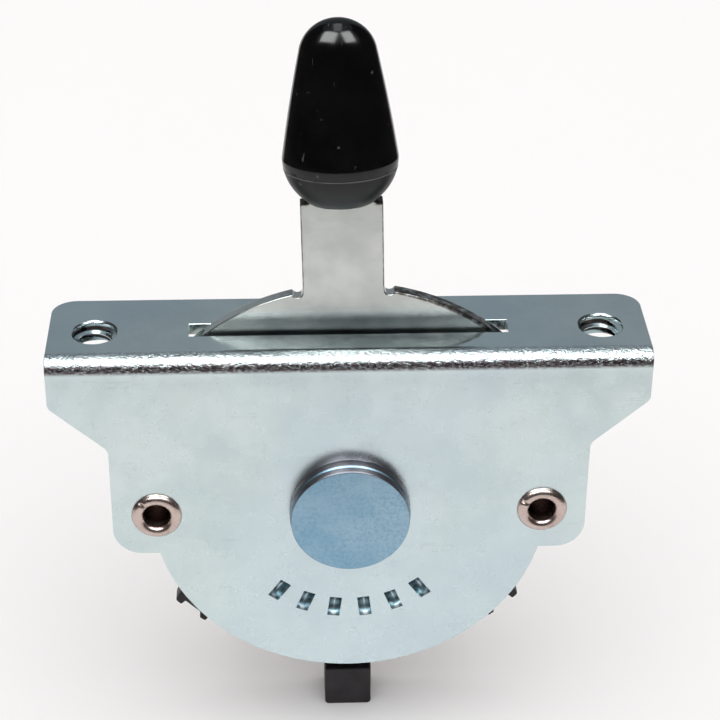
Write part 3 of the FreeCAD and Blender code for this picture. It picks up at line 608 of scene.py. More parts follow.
@dataclass(frozen=True)
class LancedSheet(PlatedSheet):
    """Zinc plate stretched over the detent strips: dark teal as painted shade, with a painted
    highlight along the middle line and at each lower end.
    """

    name: str = "zinc_plate_lanced"
    # Darker copies of the plate's colours: painted shade in the hollows.
    pale: Colour = (0.22, 0.33, 0.37)
    clouded: Colour = (0.12, 0.2, 0.23)
    bluish: Colour = (0.15, 0.22, 0.26)
    # Colour of the painted highlights.
    painted_highlight: Colour = (0.85, 0.92, 0.95)
    roughness: Reach = (0.26, 0.34)
    line_half: float = 0.1
    line_core: float = 0.3
    strip_top: float = 9.3
    strip_foot: float = 10.9
    spot_rise: float = 0.1
    spot_half: Reach = (0.06, 0.28)
    spot_share: float = 0.7

    def trim(self, graph: Graph, colour: Socket) -> Socket:
        """Paint a highlight along each strip's middle line and at its lower end.

        The line lies where the angle about the pivot, counted from straight down in
        steps, is a whole number and a half.

        Args:
            graph: The finish's nodes.
            colour: Colour elsewhere.

        Returns:
            Colour with the bright places.
        """
        drop = graph.over_pivot()
        turn = graph.math("ARCTAN2", graph.across, graph.times(drop, -1.0))
        share = graph.minus(graph.math("FRACT", graph.math("DIVIDE", turn, STRIP_STEP)), 0.5)
        radius = graph.hypotenuse(drop, graph.across)
        beside = graph.math("ABSOLUTE", graph.times(share, STRIP_STEP * BALL_PATH))
        line = graph.levels(beside, self.line_half * self.line_core, self.line_half, 1.0, 0.0)
        fading = graph.levels(radius, self.strip_top, self.strip_foot, 1.0, 0.1)
        low = graph.levels(radius, self.strip_foot, self.strip_foot + self.spot_rise)
        foot = graph.times(low, graph.levels(beside, *self.spot_half, self.spot_share, 0.0))
        # Painted highlight along each strip's middle and at its lower end.
        bright = graph.larger(graph.times(line, fading), foot)
        return graph.blend(bright, colour, self.painted_highlight)


@dataclass(frozen=True)
class BlueTurned:
    """Blue zinc plate on a turned post, mottled, with faint rings about the pivot and painted shade
    on the side of its head.
    """

    name: str = "blue_zinc_satin"
    blue: Colour = (0.235, 0.39, 0.51)
    pale: Colour = (0.31, 0.455, 0.555)
    deep: Colour = (0.15, 0.29, 0.43)
    # Colour of the painted shade on the side of the head.
    painted_side_shade: Colour = (0.22, 0.2, 0.215)
    rim: float = 4.865
    rim_blur: float = 0.035
    step_along: float = -5.5
    step_reach: Reach = (0.04, 0.1)
    ring_pitch: float = 0.22
    ring_share: float = 0.12
    grain_depth: float = 0.006
    roughness: Reach = (0.3, 0.42)

    def material(self) -> bpy.types.Material:
        """Build the finish.

        Returns:
            The material.
        """
        graph = Graph(self.name)
        clouds = graph.levels(graph.noise(4.5, 3.0, shift=1.0, roughness=0.5), 0.34, 0.66)
        colour = graph.blend(clouds, self.blue, self.pale)
        patches = graph.levels(graph.noise(0.3, 5.0, shift=2.0, roughness=0.8), 0.4, 0.66)
        wear_and_painted_reflection = graph.levels(graph.noise(3.2, 2.0, shift=5.0), 0.35, 0.65, 0.3, 0.65)
        colour = graph.blend(graph.times(patches, wear_and_painted_reflection), colour, self.deep)
        radius = graph.hypotenuse(graph.across, graph.over_pivot())
        # Painted shade on the side of the head, beyond the face's rim, except at the step.
        beyond = graph.levels(radius, self.rim, self.rim + self.rim_blur)
        off_step = graph.levels(graph.apart(graph.along, self.step_along), *self.step_reach)
        colour = graph.blend(graph.times(beyond, off_step), colour, self.painted_side_shade)
        rings = graph.math("SINE", graph.times(radius, FULL_TURN / self.ring_pitch))
        grain = graph.noise(0.18, 4.0, shift=3.0, roughness=0.7)
        height = graph.plus(graph.times(rings, self.ring_share), grain)
        roughness = graph.levels(patches, 0.0, 1.0, *self.roughness)
        return graph.finish(colour, roughness, 1.0, graph.relief(height, self.grain_depth))


@dataclass(frozen=True)
class WorkedMetal:
    """Bare or plated metal with fine lines along its grain and a few handling marks."""

    name: str
    tint: Colour
    shade: Colour
    stain: Colour
    grain: Grain = Grain.NONE
    line_spacing: float = 0.12
    line_depth: float = 0.003
    roughness: Reach = (0.24, 0.4)
    stain_share: float = 0.4
    scratch_share: float = 0.5
    scratch_depth: float = 0.003
    wave_depth: float = 0.008

    def material(self) -> bpy.types.Material:
        """Build the finish.

        Returns:
            The material.
        """
        graph = Graph(self.name)
        lines = graph.noise(self.line_spacing, 3.0, self.grain.value, shift=1.0, roughness=0.6)
        clouds = graph.levels(graph.noise(2.6, 6.0, shift=2.0, roughness=0.6), 0.3, 0.7)
        tone = graph.plus(graph.times(lines, 0.6), graph.times(clouds, 0.4))
        colour = graph.blend(tone, self.tint, self.shade)
        spots = graph.levels(graph.noise(1.3, 6.0, shift=3.0), 0.58, 0.76)
        colour = graph.blend(graph.times(spots, self.stain_share), colour, self.stain)
        patches = graph.levels(graph.noise(1.4, 2.0, shift=4.0), 0.54, 0.62)
        steep = graph.lines(0.42, 0.016, (1.0, 0.7, 0.22), 5.0)
        level = graph.lines(0.5, 0.014, (0.2, 0.7, 1.0), 6.0)
        scratches = graph.times(graph.larger(steep, level), patches)
        colour = graph.blend(graph.times(scratches, self.scratch_share), colour, self.stain)
        colour = self.trim(graph, colour)
        normal = graph.relief(graph.noise(1.8, 3.0, shift=6.0), self.wave_depth)
        normal = graph.relief(lines, self.line_depth, normal)
        normal = graph.relief(graph.minus(1.0, scratches), self.scratch_depth, normal)
        roughness = graph.levels(tone, 0.2, 0.8, *self.roughness)
        return graph.finish(colour, roughness, 1.0, normal)

    def trim(self, graph: Graph, colour: Socket) -> Socket:
        """Colour of the piece's edges, here as elsewhere."""
        return colour


@dataclass(frozen=True)
class StampedSteel(WorkedMetal):
    """Satin steel, darker in a thin band along the stem's sides and the apron's rim, with painted
    shade on the apron and at the stem's shoulders.
    """

    # Colour of a thin darker band along the outline and of the painted shade at the shoulders.
    edge_and_shade_tint: Colour = (0.04, 0.028, 0.022)
    half_stem: float = 3.275
    rim: float = 18.85
    reach: float = 0.16
    above_rim: Reach = (0.2, 0.5)
    beside_stem: float = 0.3
    shoulder: Reach = (11.4, 11.6)
    corner: Reach = (2.5, 2.8)
    # Painted shade on the apron, darker towards the pivot.
    painted_shade: Colour = (0.22, 0.23, 0.235)
    painted_shade_reach: Reach = (15.0, 19.6)
    painted_shade_share: float = 0.75

    def trim(self, graph: Graph, colour: Socket) -> Socket:
        """Paint shade on the arc that runs in the slot, darken a thin band along the outline, and
        paint shade at the shoulders under the tip.

        Args:
            graph: The finish's nodes.
            colour: Colour away from the edges.

        Returns:
            Colour with the painted shade and the darker outline.
        """
        drop = graph.over_pivot()
        sine, cosine = math.sin(LEVER_LEAN), math.cos(LEVER_LEAN)
        beside = graph.plus(graph.times(graph.across, cosine), graph.times(drop, sine))
        away = graph.math("ABSOLUTE", beside)
        radius = graph.hypotenuse(beside, drop)
        # Painted shade: the apron darkens towards the pivot.
        painted_shade_mask = graph.levels(radius, *self.painted_shade_reach, self.painted_shade_share, 0.0)
        colour = graph.blend(painted_shade_mask, colour, self.painted_shade)
        stem = graph.levels(away, self.half_stem - self.reach, self.half_stem - 0.02)
        above = graph.levels(radius, *(self.rim + reach for reach in self.above_rim))
        rim = graph.levels(radius, self.rim - self.reach, self.rim - 0.03)
        outside = graph.levels(away, self.half_stem, self.half_stem + self.beside_stem)
        edge = graph.larger(graph.times(stem, above), graph.times(rim, outside))
        patchy = graph.levels(graph.noise(0.5, 4.0, shift=12.0), 0.3, 0.6, 0.35, 0.95)
        # Painted shade at the stem's shoulders, just under the tip's foot.
        high = graph.levels(graph.up, *self.shoulder)
        corner = graph.times(high, graph.levels(away, *self.corner))
        edge = graph.larger(graph.times(edge, patchy), corner)
        return graph.blend(edge, colour, self.edge_and_shade_tint)


@dataclass(frozen=True)
class RolledNickel(WorkedMetal):
    """Worn nickel of the hollow rivets, with painted shade inside the bore."""

    # Colour of the painted shade inside the bore.
    painted_bore_shade: Colour = (0.15, 0.1, 0.085)
    front_lip: Reach = (-4.5, -3.9)
    rear_lip: Reach = (1.8, 2.4)

    def trim(self, graph: Graph, colour: Socket) -> Socket:
        """Paint shade on the metal between the two lips.

        Args:
            graph: The finish's nodes.
            colour: Colour of the lips.

        Returns:
            Colour with painted shade in the bore.
        """
        # Painted shade inside the bore, between the two lips.
        behind = graph.levels(graph.along, *self.front_lip)
        inside = graph.times(behind, graph.levels(graph.along, *self.rear_lip, 1.0, 0.0))
        return graph.blend(inside, colour, self.painted_bore_shade)


@dataclass(frozen=True)
class Moulded:
    """Moulded plastic: flow marks, fine grain, dust specks and hairline marks in patches."""

    name: str
    tint: Colour
    shade: Colour
    dust: Colour
    roughness: Reach = (0.4, 0.6)
    grain_size: float = 0.15
    grain_depth: float = 0.006
    wave_depth: float = 0.006
    speck_spacing: float = 2.2
    speck_radius: float = 0.028
    speck_share: float = 0.5
    specular: float = 0.35

    def material(self) -> bpy.types.Material:
        """Build the finish.

        Returns:
            The material.
        """
        graph = Graph(self.name)
        flow = graph.levels(graph.noise(3.0, 5.0, shift=1.0), 0.3, 0.7)
        colour = graph.blend(flow, self.tint, self.shade)
        specks = graph.specks(self.speck_spacing, self.speck_radius, 1.0)
        hairs = graph.lines(0.9, 0.012, (1.0, 0.5, 0.35), 2.0)
        patches = graph.levels(graph.noise(0.8, 1.0, shift=3.0), 0.66, 0.72)
        marks = graph.larger(specks, graph.times(hairs, patches))
        colour = graph.blend(graph.times(marks, self.speck_share), colour, self.dust)
        grain = graph.noise(self.grain_size, 3.0, shift=5.0)
        normal = graph.relief(graph.noise(1.1, 3.0, shift=4.0), self.wave_depth)
        normal = graph.relief(grain, self.grain_depth, normal)
        roughness = graph.levels(graph.noise(1.4, 5.0, shift=6.0), 0.3, 0.7, *self.roughness)
        return graph.finish(
            self.mark(graph, colour), self.dull(graph, roughness), 0.0, normal, self.specular
        )

    def dull(self, graph: Graph, roughness: Socket) -> Socket:
        """Roughness of single places, here as elsewhere."""
        return roughness

    def mark(self, graph: Graph, colour: Socket) -> Socket:
        """Colour of single places, here as elsewhere."""
        return colour


@dataclass(frozen=True)
class GlossTip(Moulded):
    """Glossy tip, duller on its foot below the parting line, with a painted highlight along that
    line.
    """

    parting: float = 29.5
    parting_blur: float = 0.1
    line_half: Reach = (0.02, 0.06)
    foot_roughness: float = 0.24
    # Colour of the painted highlight on the parting line.
    painted_highlight: Colour = (0.09, 0.09, 0.1)

    def dull(self, graph: Graph, roughness: Socket) -> Socket:
        """Roughen the foot.

        Args:
            graph: The finish's nodes.
            roughness: Roughness above the parting line.

        Returns:
            Roughness with the foot's own.
        """
        start = self.parting - self.parting_blur
        below = graph.levels(self.height(graph), start, self.parting, self.foot_roughness, 0.0)
        return graph.plus(roughness, below)

    def height(self, graph: Graph) -> Socket:
        """Height above the pivot, measured along the lever.

        Args:
            graph: The finish's nodes.

        Returns:
            The height.
        """
        upward = graph.times(graph.over_pivot(), math.cos(LEVER_LEAN))
        return graph.minus(upward, graph.times(graph.across, math.sin(LEVER_LEAN)))

    def mark(self, graph: Graph, colour: Socket) -> Socket:
        """Paint a pale highlight along the parting line, in places.

        Args:
            graph: The finish's nodes.
            colour: Colour elsewhere.

        Returns:
            Colour with the painted highlight.
        """
        # Painted highlight along the parting line.
        away = graph.apart(self.height(graph), self.parting)
        line = graph.levels(away, *self.line_half, 1.0, 0.0)
        patchy = graph.levels(graph.noise(1.6, 3.0, shift=9.0), 0.35, 0.6, 0.25, 1.0)
        return graph.blend(graph.times(line, patchy), colour, self.painted_highlight)


@dataclass(frozen=True)
class Paper:
    """Plain paper between two near tones, with a faint tooth."""

    name: str
    tint: Colour
    shade: Colour
    clouds: Reach
    tooth: Reach
    tooth_shift: float
    tooth_depth: float
    roughness: float
    specular: float

    def material(self) -> bpy.types.Material:
        """Build the finish.

        Returns:
            The material.
        """
        graph = Graph(self.name)
        colour = graph.blend(graph.noise(*self.clouds, shift=1.0), self.tint, self.shade)
        tooth = graph.noise(*self.tooth, shift=self.tooth_shift)
        normal = graph.relief(tooth, self.tooth_depth)
        return graph.finish(colour, self.roughness, 0.0, normal, self.specular)


Finish = PlatedSheet | BlueTurned | WorkedMetal | Moulded
STEEL_STAIN = (0.3, 0.28, 0.25)


class Finishes:
    """Every finish, built once and shared by the pieces that have it."""

    def __init__(self) -> None:
        """Build them all under the names of the record's material slots."""
        kinds: dict[str, Finish] = {
            "zinc_plate": PlatedSheet(),
            "blue_zinc": BlueTurned(),
            "satin_steel": StampedSteel(
                "lever_steel_satin",
                tint=(0.66, 0.68, 0.655),
                shade=(0.5, 0.52, 0.5),
                stain=STEEL_STAIN,
                line_spacing=0.1,
                line_depth=0.007,
                roughness=(0.18, 0.25),
                stain_share=0.08,
                scratch_share=0.08,
                scratch_depth=0.0003,
            ),
            "turned_steel": WorkedMetal(
                "turned_steel_plated",
                tint=(0.68, 0.7, 0.71),
                shade=(0.55, 0.57, 0.58),
                stain=STEEL_STAIN,
                grain=Grain.ACROSS,
                line_spacing=0.2,
            ),
            "spring_steel": WorkedMetal(
                "spring_steel_bare",
                tint=(0.42, 0.43, 0.45),
                shade=(0.3, 0.31, 0.33),
                stain=(0.16, 0.12, 0.1),
                grain=Grain.UPRIGHT,
            ),
            "polished_ball": WorkedMetal(
                "ball_steel_polished",
                tint=(0.8, 0.8, 0.82),
                shade=(0.72, 0.72, 0.75),
                stain=(0.4, 0.38, 0.36),
                line_depth=0.0005,
                roughness=(0.06, 0.14),
                stain_share=0.15,
                scratch_share=0.2,
            ),
            "nickel": RolledNickel(
                "nickel_worn",
                tint=(0.62, 0.52, 0.48),
                shade=(0.5, 0.39, 0.35),
                stain=(0.24, 0.13, 0.09),
                roughness=(0.22, 0.32),
                stain_share=0.6,
            ),
            "tip_plastic": GlossTip(
                "tip_plastic_gloss",
                tint=(0.0012, 0.0012, 0.0014),
                shade=(0.0025, 0.0025, 0.003),
                dust=(0.35, 0.35, 0.36),
                roughness=(0.12, 0.2),
                grain_depth=0.0006,
                speck_share=0.16,
                specular=0.4,
            ),
            "wafer_black": Moulded(
                "wafer_plastic_matt",
                tint=(0.011, 0.009, 0.011),
                shade=(0.02, 0.017, 0.02),
                dust=(0.14, 0.13, 0.12),
                speck_spacing=1.4,
            ),
            "rotor_brown": Moulded(
                "rotor_phenolic_matt",
                tint=(0.17, 0.09, 0.045),
                shade=(0.11, 0.058, 0.03),
                dust=(0.3, 0.2, 0.12),
                speck_spacing=0.9,
            ),
            "contact_metal": WorkedMetal(
                "contact_strip_tinned",
                tint=(0.78, 0.76, 0.69),
                shade=(0.64, 0.62, 0.55),
                stain=(0.38, 0.27, 0.14),
                grain=Grain.UPRIGHT,
                line_spacing=0.1,
                roughness=(0.2, 0.34),
            ),
            "rivet_brass": WorkedMetal(
                "rivet_brass_plain",
                tint=(0.74, 0.57, 0.29),
                shade=(0.6, 0.44, 0.2),
                stain=(0.25, 0.15, 0.07),
                roughness=(0.2, 0.36),
            ),
        }
        self.by_slot = {slot: finish.material() for slot, finish in kinds.items()}

    def dress(self, piece: bpy.types.Object, slot: str) -> None:
        """Give a piece the finish of a slot.

        Args:
            piece: The piece.
            slot: Name of the material slot in the record.
        """
        piece.data.materials.clear()
        piece.data.materials.append(self.by_slot[slot])


# ---------------------------------------------------------------------------------------
# Sub-assemblies
# ---------------------------------------------------------------------------------------


@dataclass(frozen=True)
class WideEdges:
    """Edges of a piece that are rounded more than its others."""

    width: float
    chosen: Callable[[np.ndarray], np.ndarray]

    def weigh(self, mesh: bpy.types.Mesh, width: float) -> None:
        """Weigh the sharp edges for a rounding as wide as this one.

        Args:
            mesh: The piece's mesh, its sharp edges marked.
            width: Rounding of the edges that aren't chosen.
        """
        ends = np.empty(len(mesh.edges) * 2, dtype=np.int32)
        mesh.edges.foreach_get("vertices", ends)
        points = np.empty(len(mesh.vertices) * 3, dtype=np.float32)
        mesh.vertices.foreach_get("co", points)
        middles = points.reshape(-1, 3)[ends.reshape(-1, 2)].mean(axis=1) / METRES
        sharp = np.zeros(len(mesh.edges), dtype=bool)
        mesh.attributes["sharp_edge"].data.foreach_get("value", sharp)
        weights = sharp * np.where(self.chosen(middles), 1.0, width / self.width)
        layer = mesh.attributes.new("bevel_weight_edge", "FLOAT", "EDGE")
        layer.data.foreach_set("value", weights.astype(np.float32))


@dataclass
class Assembly:
    """A group of pieces that is built and dressed together."""

    finishes: Finishes
    pieces: list[bpy.types.Object] = field(default_factory=list)

    def add(self, piece: bpy.types.Object, slot: str, body: Body, *nodes: str) -> None:
        """Dress a piece, fix it to its body and let it stand for its nodes.

        Args:
            piece: The piece.
            slot: The record's material slot.
            body: The body it rides on.
            *nodes: The CAD nodes it stands for.
        """
        self.finishes.dress(piece, slot)
        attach(piece, body.value)
        if nodes:
            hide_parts(*nodes)
        self.pieces.append(piece)

    def soften(
        self,
        node: str,
        name: str,
        width: float,
        segments: int = 3,
        wide: WideEdges | None = None,
    ) -> bpy.types.Object:
        """Copy a CAD node's mesh, join its points and flats, and round its edges.

        Args:
            node: The CAD node.
            name: Name of the new piece.
            width: How far the rounding reaches from each edge.
            segments: Steps of the rounding.
            wide: Edges that are rounded more.

        Returns:
            The new piece.
        """
        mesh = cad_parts[node].data.copy()
        mesh.name = name
        tidy = bmesh.new()
        tidy.from_mesh(mesh)
        bmesh.ops.remove_doubles(tidy, verts=tidy.verts, dist=SAME_CAD_POINT)
        bmesh.ops.dissolve_limit(
            tidy, angle_limit=math.radians(FLAT_ANGLE), verts=tidy.verts, edges=tidy.edges
        )
        tidy.to_mesh(mesh)
        tidy.free()
        if "custom_normal" in mesh.attributes:
            mesh.attributes.remove(mesh.attributes["custom_normal"])
        mesh.shade_smooth()
        mesh.set_sharp_from_angle(angle=math.radians(CREASE_ANGLE))
        piece = bpy.data.objects.new(name, mesh)
        bpy.context.scene.collection.objects.link(piece)
        bevel = piece.modifiers.new("soft_edges", "BEVEL")
        bevel.width = width * METRES
        bevel.segments = segments
        bevel.limit_method = "ANGLE"
        bevel.angle_limit = math.radians(CREASE_ANGLE)
        bevel.use_clamp_overlap = False
        bevel.harden_normals = True
        if wide is not None:
            wide.weigh(mesh, width)
            bevel.limit_method = "WEIGHT"
            bevel.width = wide.width * METRES
        return piece


@dataclass
class Bracket(Assembly):
    """Folded bracket with its two threads and the six strips that catch the ball."""

    edge: float = 0.07
    mouth_edge: float = 0.27
    slot_half: float = 12.4
    slot_near: float = 0.4
    slot_far: float = 2.0
    thread_pitch: float = 0.6
    thread_inner: float = 1.4
    thread_half: float = 0.34
    thread_run_out: float = 0.1
    thread_top: float = -0.42
    thread_bottom: float = -1.72
    strip_count: int = 6
    strip_length: float = 1.85
    strip_width: float = 0.96
    strip_depth: float = 0.8
    strip_crown: float = 0.13
    strip_back: float = 0.15
    near_mouth: float = 0.08
    near_top: float = 0.02

    def build(self) -> None:
        """Make the bracket, its threads and its strips."""
        mouths = WideEdges(self.mouth_edge, self.is_wide)
        bracket = self.soften("frame", "bracket", self.edge, 4, mouths)
        self.add(bracket, "zinc_plate", Body.FIXED, "frame")
        for word, side in SIDES:
            thread = write_mesh(word + "_thread", [self.thread(side)])
            self.add(thread, "zinc_plate", Body.FIXED)
        strips = write_mesh("detent_strips", [self.strip(turn) for turn in self.strip_turns()])
        self.add(strips, "zinc_plate", Body.FIXED)
        # The strips take the darker lanced finish, with its painted shade and painted highlights.
        strips.data.materials[0] = LancedSheet().material()

    def is_wide(self, middles: np.ndarray) -> np.ndarray:
        """Which upper edges are rounded more: the tapped holes' mouths and the slot's front.

        Args:
            middles: Middle of each edge, in millimetres.

        Returns:
            A yes or a no for each edge.
        """
        away = np.hypot(np.abs(middles[:, 0]) - HOLE_ACROSS, middles[:, 1])
        mouth = np.abs(away - THREAD_OUTER) < self.near_mouth
        front = (np.abs(middles[:, 0]) < self.slot_half) & (middles[:, 1] < -self.slot_near)
        front &= middles[:, 1] > -self.slot_far
        return (mouth | front) & (np.abs(middles[:, 2]) < self.near_top)

    def strip_turns(self) -> np.ndarray:
        """Angle of each strip from straight down."""
        return (np.arange(self.strip_count) - (self.strip_count - 1) / 2) * STRIP_STEP

    def thread(self, side: int) -> Sheet:
        """Ridge of a right-handed screw thread.

        A flat-topped wedge, closed at the back, is carried down a helix: at angle a its
        middle lies at z = top - pitch * a / full turn. The wedge shrinks to nothing at
        both ends of the helix.

        Args:
            side: -1 for the left hole and 1 for the right.

        Returns:
            The closed ridge.
        """
        turns = (self.thread_top - self.thread_bottom) / self.thread_pitch
        angle = np.linspace(0.0, FULL_TURN * turns, 160)[:, None]
        share = np.minimum(angle, angle[-1] - angle) / angle[-1]
        size = smooth_step(0.0, self.thread_run_out, share)
        inward = np.array([0.0, 0.25, 0.9, 1.0, 1.0, 0.9, 0.25, 0.0, -0.03, -0.03])[None, :]
        upward = np.array([1.0, 0.8, 0.22, 0.12, -0.12, -0.22, -0.8, -1.0, -0.7, 0.7])[None, :]
        radius = THREAD_OUTER - (THREAD_OUTER - self.thread_inner) * inward * size
        rise = self.thread_half * upward * size - angle / FULL_TURN
        height = self.thread_top + self.thread_pitch * rise
        across = side * HOLE_ACROSS + radius * np.sin(angle)
        return Sheet(surface(across, radius * np.cos(angle), height))

    def strip(self, turn: float) -> Sheet:
        """Front of one lanced strip, a barrel rounded across its width.

        Along its length u it follows the hollow's arc d(u) = depth (1 - (2u/length)^2);
        across its width v it stands out by crown (1 - (2v/width)^2). The back closes just
        under the hollow's floor.

        Args:
            turn: Angle of the strip from straight down about the pivot.

        Returns:
            The closed barrel.
        """
        along = np.linspace(-0.5, 0.5, 25)[:, None]
        loop = np.linspace(0.0, FULL_TURN, 32, endpoint=False)[None, :]
        beside = 0.5 * np.cos(loop)
        chord, rise = self.strip_length, self.strip_depth
        arc = (chord**2 / 4 + rise**2) / (2 * rise)
        depth = np.sqrt(arc**2 - (along * chord) ** 2) - (arc - rise)
        ends = 1.0 - (2.0 * along) ** 4
        crown = self.strip_crown * np.sin(loop) * ends
        level = PLATE_FACE + depth - np.where(crown > 0, crown, crown * self.strip_back)
        outward = BALL_PATH + along * chord
        across = beside * self.strip_width
        points = surface(
            outward * math.sin(turn) + across * math.cos(turn),
            level,
            across * math.sin(turn) - PIVOT_DROP - outward * math.cos(turn),
        )
        return Sheet(points)


@dataclass
class PivotStack(Assembly):
    """Turned post with its bush, thrust washer and retaining ring."""

    face: float = -6.25
    step: float = -5.45
    face_radius: float = 4.925
    skirt_radius: float = 5.025
    shank_radius: float = 2.5
    groove_radius: float = 2.0
    groove: tuple[float, float] = (3.725, 4.175)
    rear: float = 4.75
    skirt_bevel: float = 0.06
    play: float = 0.03
    edge: float = 0.06
    post_edge: float = 0.12

    def build(self) -> None:
        """Make the four pieces."""
        post = write_mesh("turned_post", [turned(self.post_profile(), 0.0, -PIVOT_DROP, 192)])
        self.add(post, "blue_zinc", Body.FIXED, "pivot_post")
        for node, name in (("pivot_bush", "spacing_bush"), ("thrust_washer", "rear_washer")):
            piece = write_mesh(name, [self.ring_of(node)])
            self.add(piece, "turned_steel", Body.FIXED, node)
        ring = self.soften("retaining_ring", "snap_ring", 0.05)
        self.add(ring, "spring_steel", Body.FIXED, "retaining_ring")

    def ring_of(self, node: str) -> Sheet:
        """Tube that fills a CAD tube's box round the post.

        Args:
            node: The CAD tube.

        Returns:
            The closed wall.
        """
        low, high = (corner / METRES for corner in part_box(node))
        bore, outside = self.shank_radius + self.play, (high.x - low.x) / 2
        return tube(low.y, high.y, bore, outside, self.edge, 0.0, -PIVOT_DROP)

    def post_profile(self) -> np.ndarray:
        """Outline of the post from the face's middle to the rear end.

        Returns:
            Rows of (y, radius), the edges softened.
        """
        corners = np.array(
            [
                (self.face, 0.0),
                (self.face, self.face_radius),
                (self.step - self.skirt_bevel, self.face_radius),
                (self.step, self.skirt_radius),
                (PLATE_FACE, self.skirt_radius),
                (PLATE_FACE, self.shank_radius),
                (self.groove[0], self.shank_radius),
                (self.groove[0], self.groove_radius),
                (self.groove[1], self.groove_radius),
                (self.groove[1], self.shank_radius),
                (self.rear, self.shank_radius),
                (self.rear, 0.0),
            ]
        )
        return soften_profile(corners, self.post_edge, 5)


@dataclass
class LeverAssembly(Assembly):
    """Stamped lever with its slip-on tip, its ball and the clip that presses it."""

    tip_base: float = 26.6
    tip_middle: float = 0.05
    tip_half_width: float = 4.56
    tip_flatness: float = 6.05 / 9.12
    foot_half_width: float = 2.6
    belly_height: float = 3.78
    dome_half_width: float = 3.0
    dome_height: float = 2.55
    tip_height: float = 15.2
    flank_rise: float = 0.07
    slot_half: tuple[float, float] = (2.53, 0.58)
    slot_depth: float = 8.53
    skin_start: float = 0.06
    foot_shrink: float = 0.985
    seam_height: float = 2.9
    seam_rise: float = 0.035
    seam_half: float = 0.045
    ball_radius: float = 1.6

    def build(self) -> None:
        """Make the lever, the tip, the ball and the clip."""
        lever = self.soften("lever", "stamped_lever", 0.08)
        self.add(lever, "satin_steel", Body.LEVER, "lever")
        tip = write_mesh("slip_on_tip", [self.tip()])
        self.add(tip, "tip_plastic", Body.LEVER, "lever_tip")
        clip = self.soften("detent_clip", "ball_clip", 0.05)
        self.add(clip, "spring_steel", Body.LEVER, "detent_clip")
        low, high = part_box("detent_ball")
        middle = (low.y + high.y) / 2 / METRES
        angle = np.linspace(0.0, math.pi, 65)[:, None]
        profile = np.hstack(
            [middle - self.ball_radius * np.cos(angle), self.ball_radius * np.sin(angle)]
        )
        ball = write_mesh("steel_ball", [turned(profile, 0.0, -PIVOT_DROP - BALL_PATH, 96)])
        self.add(ball, "polished_ball", Body.BALL, "detent_ball")

    def tip_half_widths(self, height: np.ndarray) -> np.ndarray:
        """Half width of the tip at heights above its foot.

        An arc, upright at the belly, rises from the foot; a nearly straight flank with a
        slight bulge follows, and a shallower arc closes the dome.

        Args:
            height: Heights above the foot.

        Returns:
            The half widths.
        """
        half, foot, belly = self.tip_half_width, self.foot_half_width, self.belly_height
        dome, rise = self.dome_half_width, self.dome_height
        shoulder = self.tip_height - rise
        centre = (half**2 - foot**2 - belly**2) / (2 * (half - foot))
        arc = half - centre
        lower = centre + np.sqrt(np.clip(arc**2 - (belly - height) ** 2, 0.0, None))
        share = np.clip((height - belly) / (shoulder - belly), 0.0, 1.0)
        flank = half + (dome - half) * share + 4 * self.flank_rise * share * (1 - share)
        round_top = (dome**2 + rise**2) / (2 * rise)
        cap = np.sqrt(
            np.clip(round_top**2 - (height - self.tip_height + round_top) ** 2, 0.0, None)
        )
        return np.where(height <= belly, lower, np.where(height <= shoulder, flank, cap))

    def tip(self) -> Sheet:
        """The tip's whole skin: outside, foot and the slot that takes the tang.

        Outside, the point at height h and angle a is (w(h) cos a, k w(h) sin a, h), where
        w is the half width and k the flatness; a fine ridge runs round at the seam. The
        slot's rows follow the edge of a rectangle at the same angles.

        Returns:
            The closed skin.
        """
        turn = np.linspace(0.0, FULL_TURN, 160, endpoint=False)[None, :]
        top = self.tip_height - self.dome_height
        dome = top + self.dome_height * np.sin(np.linspace(0.0, 0.5 * math.pi, 30))
        heights = np.concatenate([np.linspace(self.skin_start, top, 170), dome[1:]])[::-1, None]
        bell = np.exp(-(((heights - self.seam_height) / self.seam_half) ** 2))
        width = self.tip_half_widths(heights) + self.seam_rise * bell
        width[0] = 0.0
        sine, cosine = np.sin(turn), np.cos(turn)
        outside = surface(width * cosine, width * self.tip_flatness * sine, heights)
        foot = outside[-1:] * np.array([self.foot_shrink, self.foot_shrink, 0.0])
        reach = np.minimum(
            self.slot_half[0] / np.maximum(np.abs(cosine), 1e-6),
            self.slot_half[1] / np.maximum(np.abs(sine), 1e-6),
        )
        mouth = surface(reach * cosine, reach * sine, 0.0)
        ceiling = mouth + np.array([0.0, 0.0, self.slot_depth])
        middle = ceiling * np.array([0.0, 0.0, 1.0])
        skin = np.concatenate([outside, foot, mouth, ceiling, middle])
        return Sheet(leaned(skin + np.array([0.0, self.tip_middle, self.tip_base])))


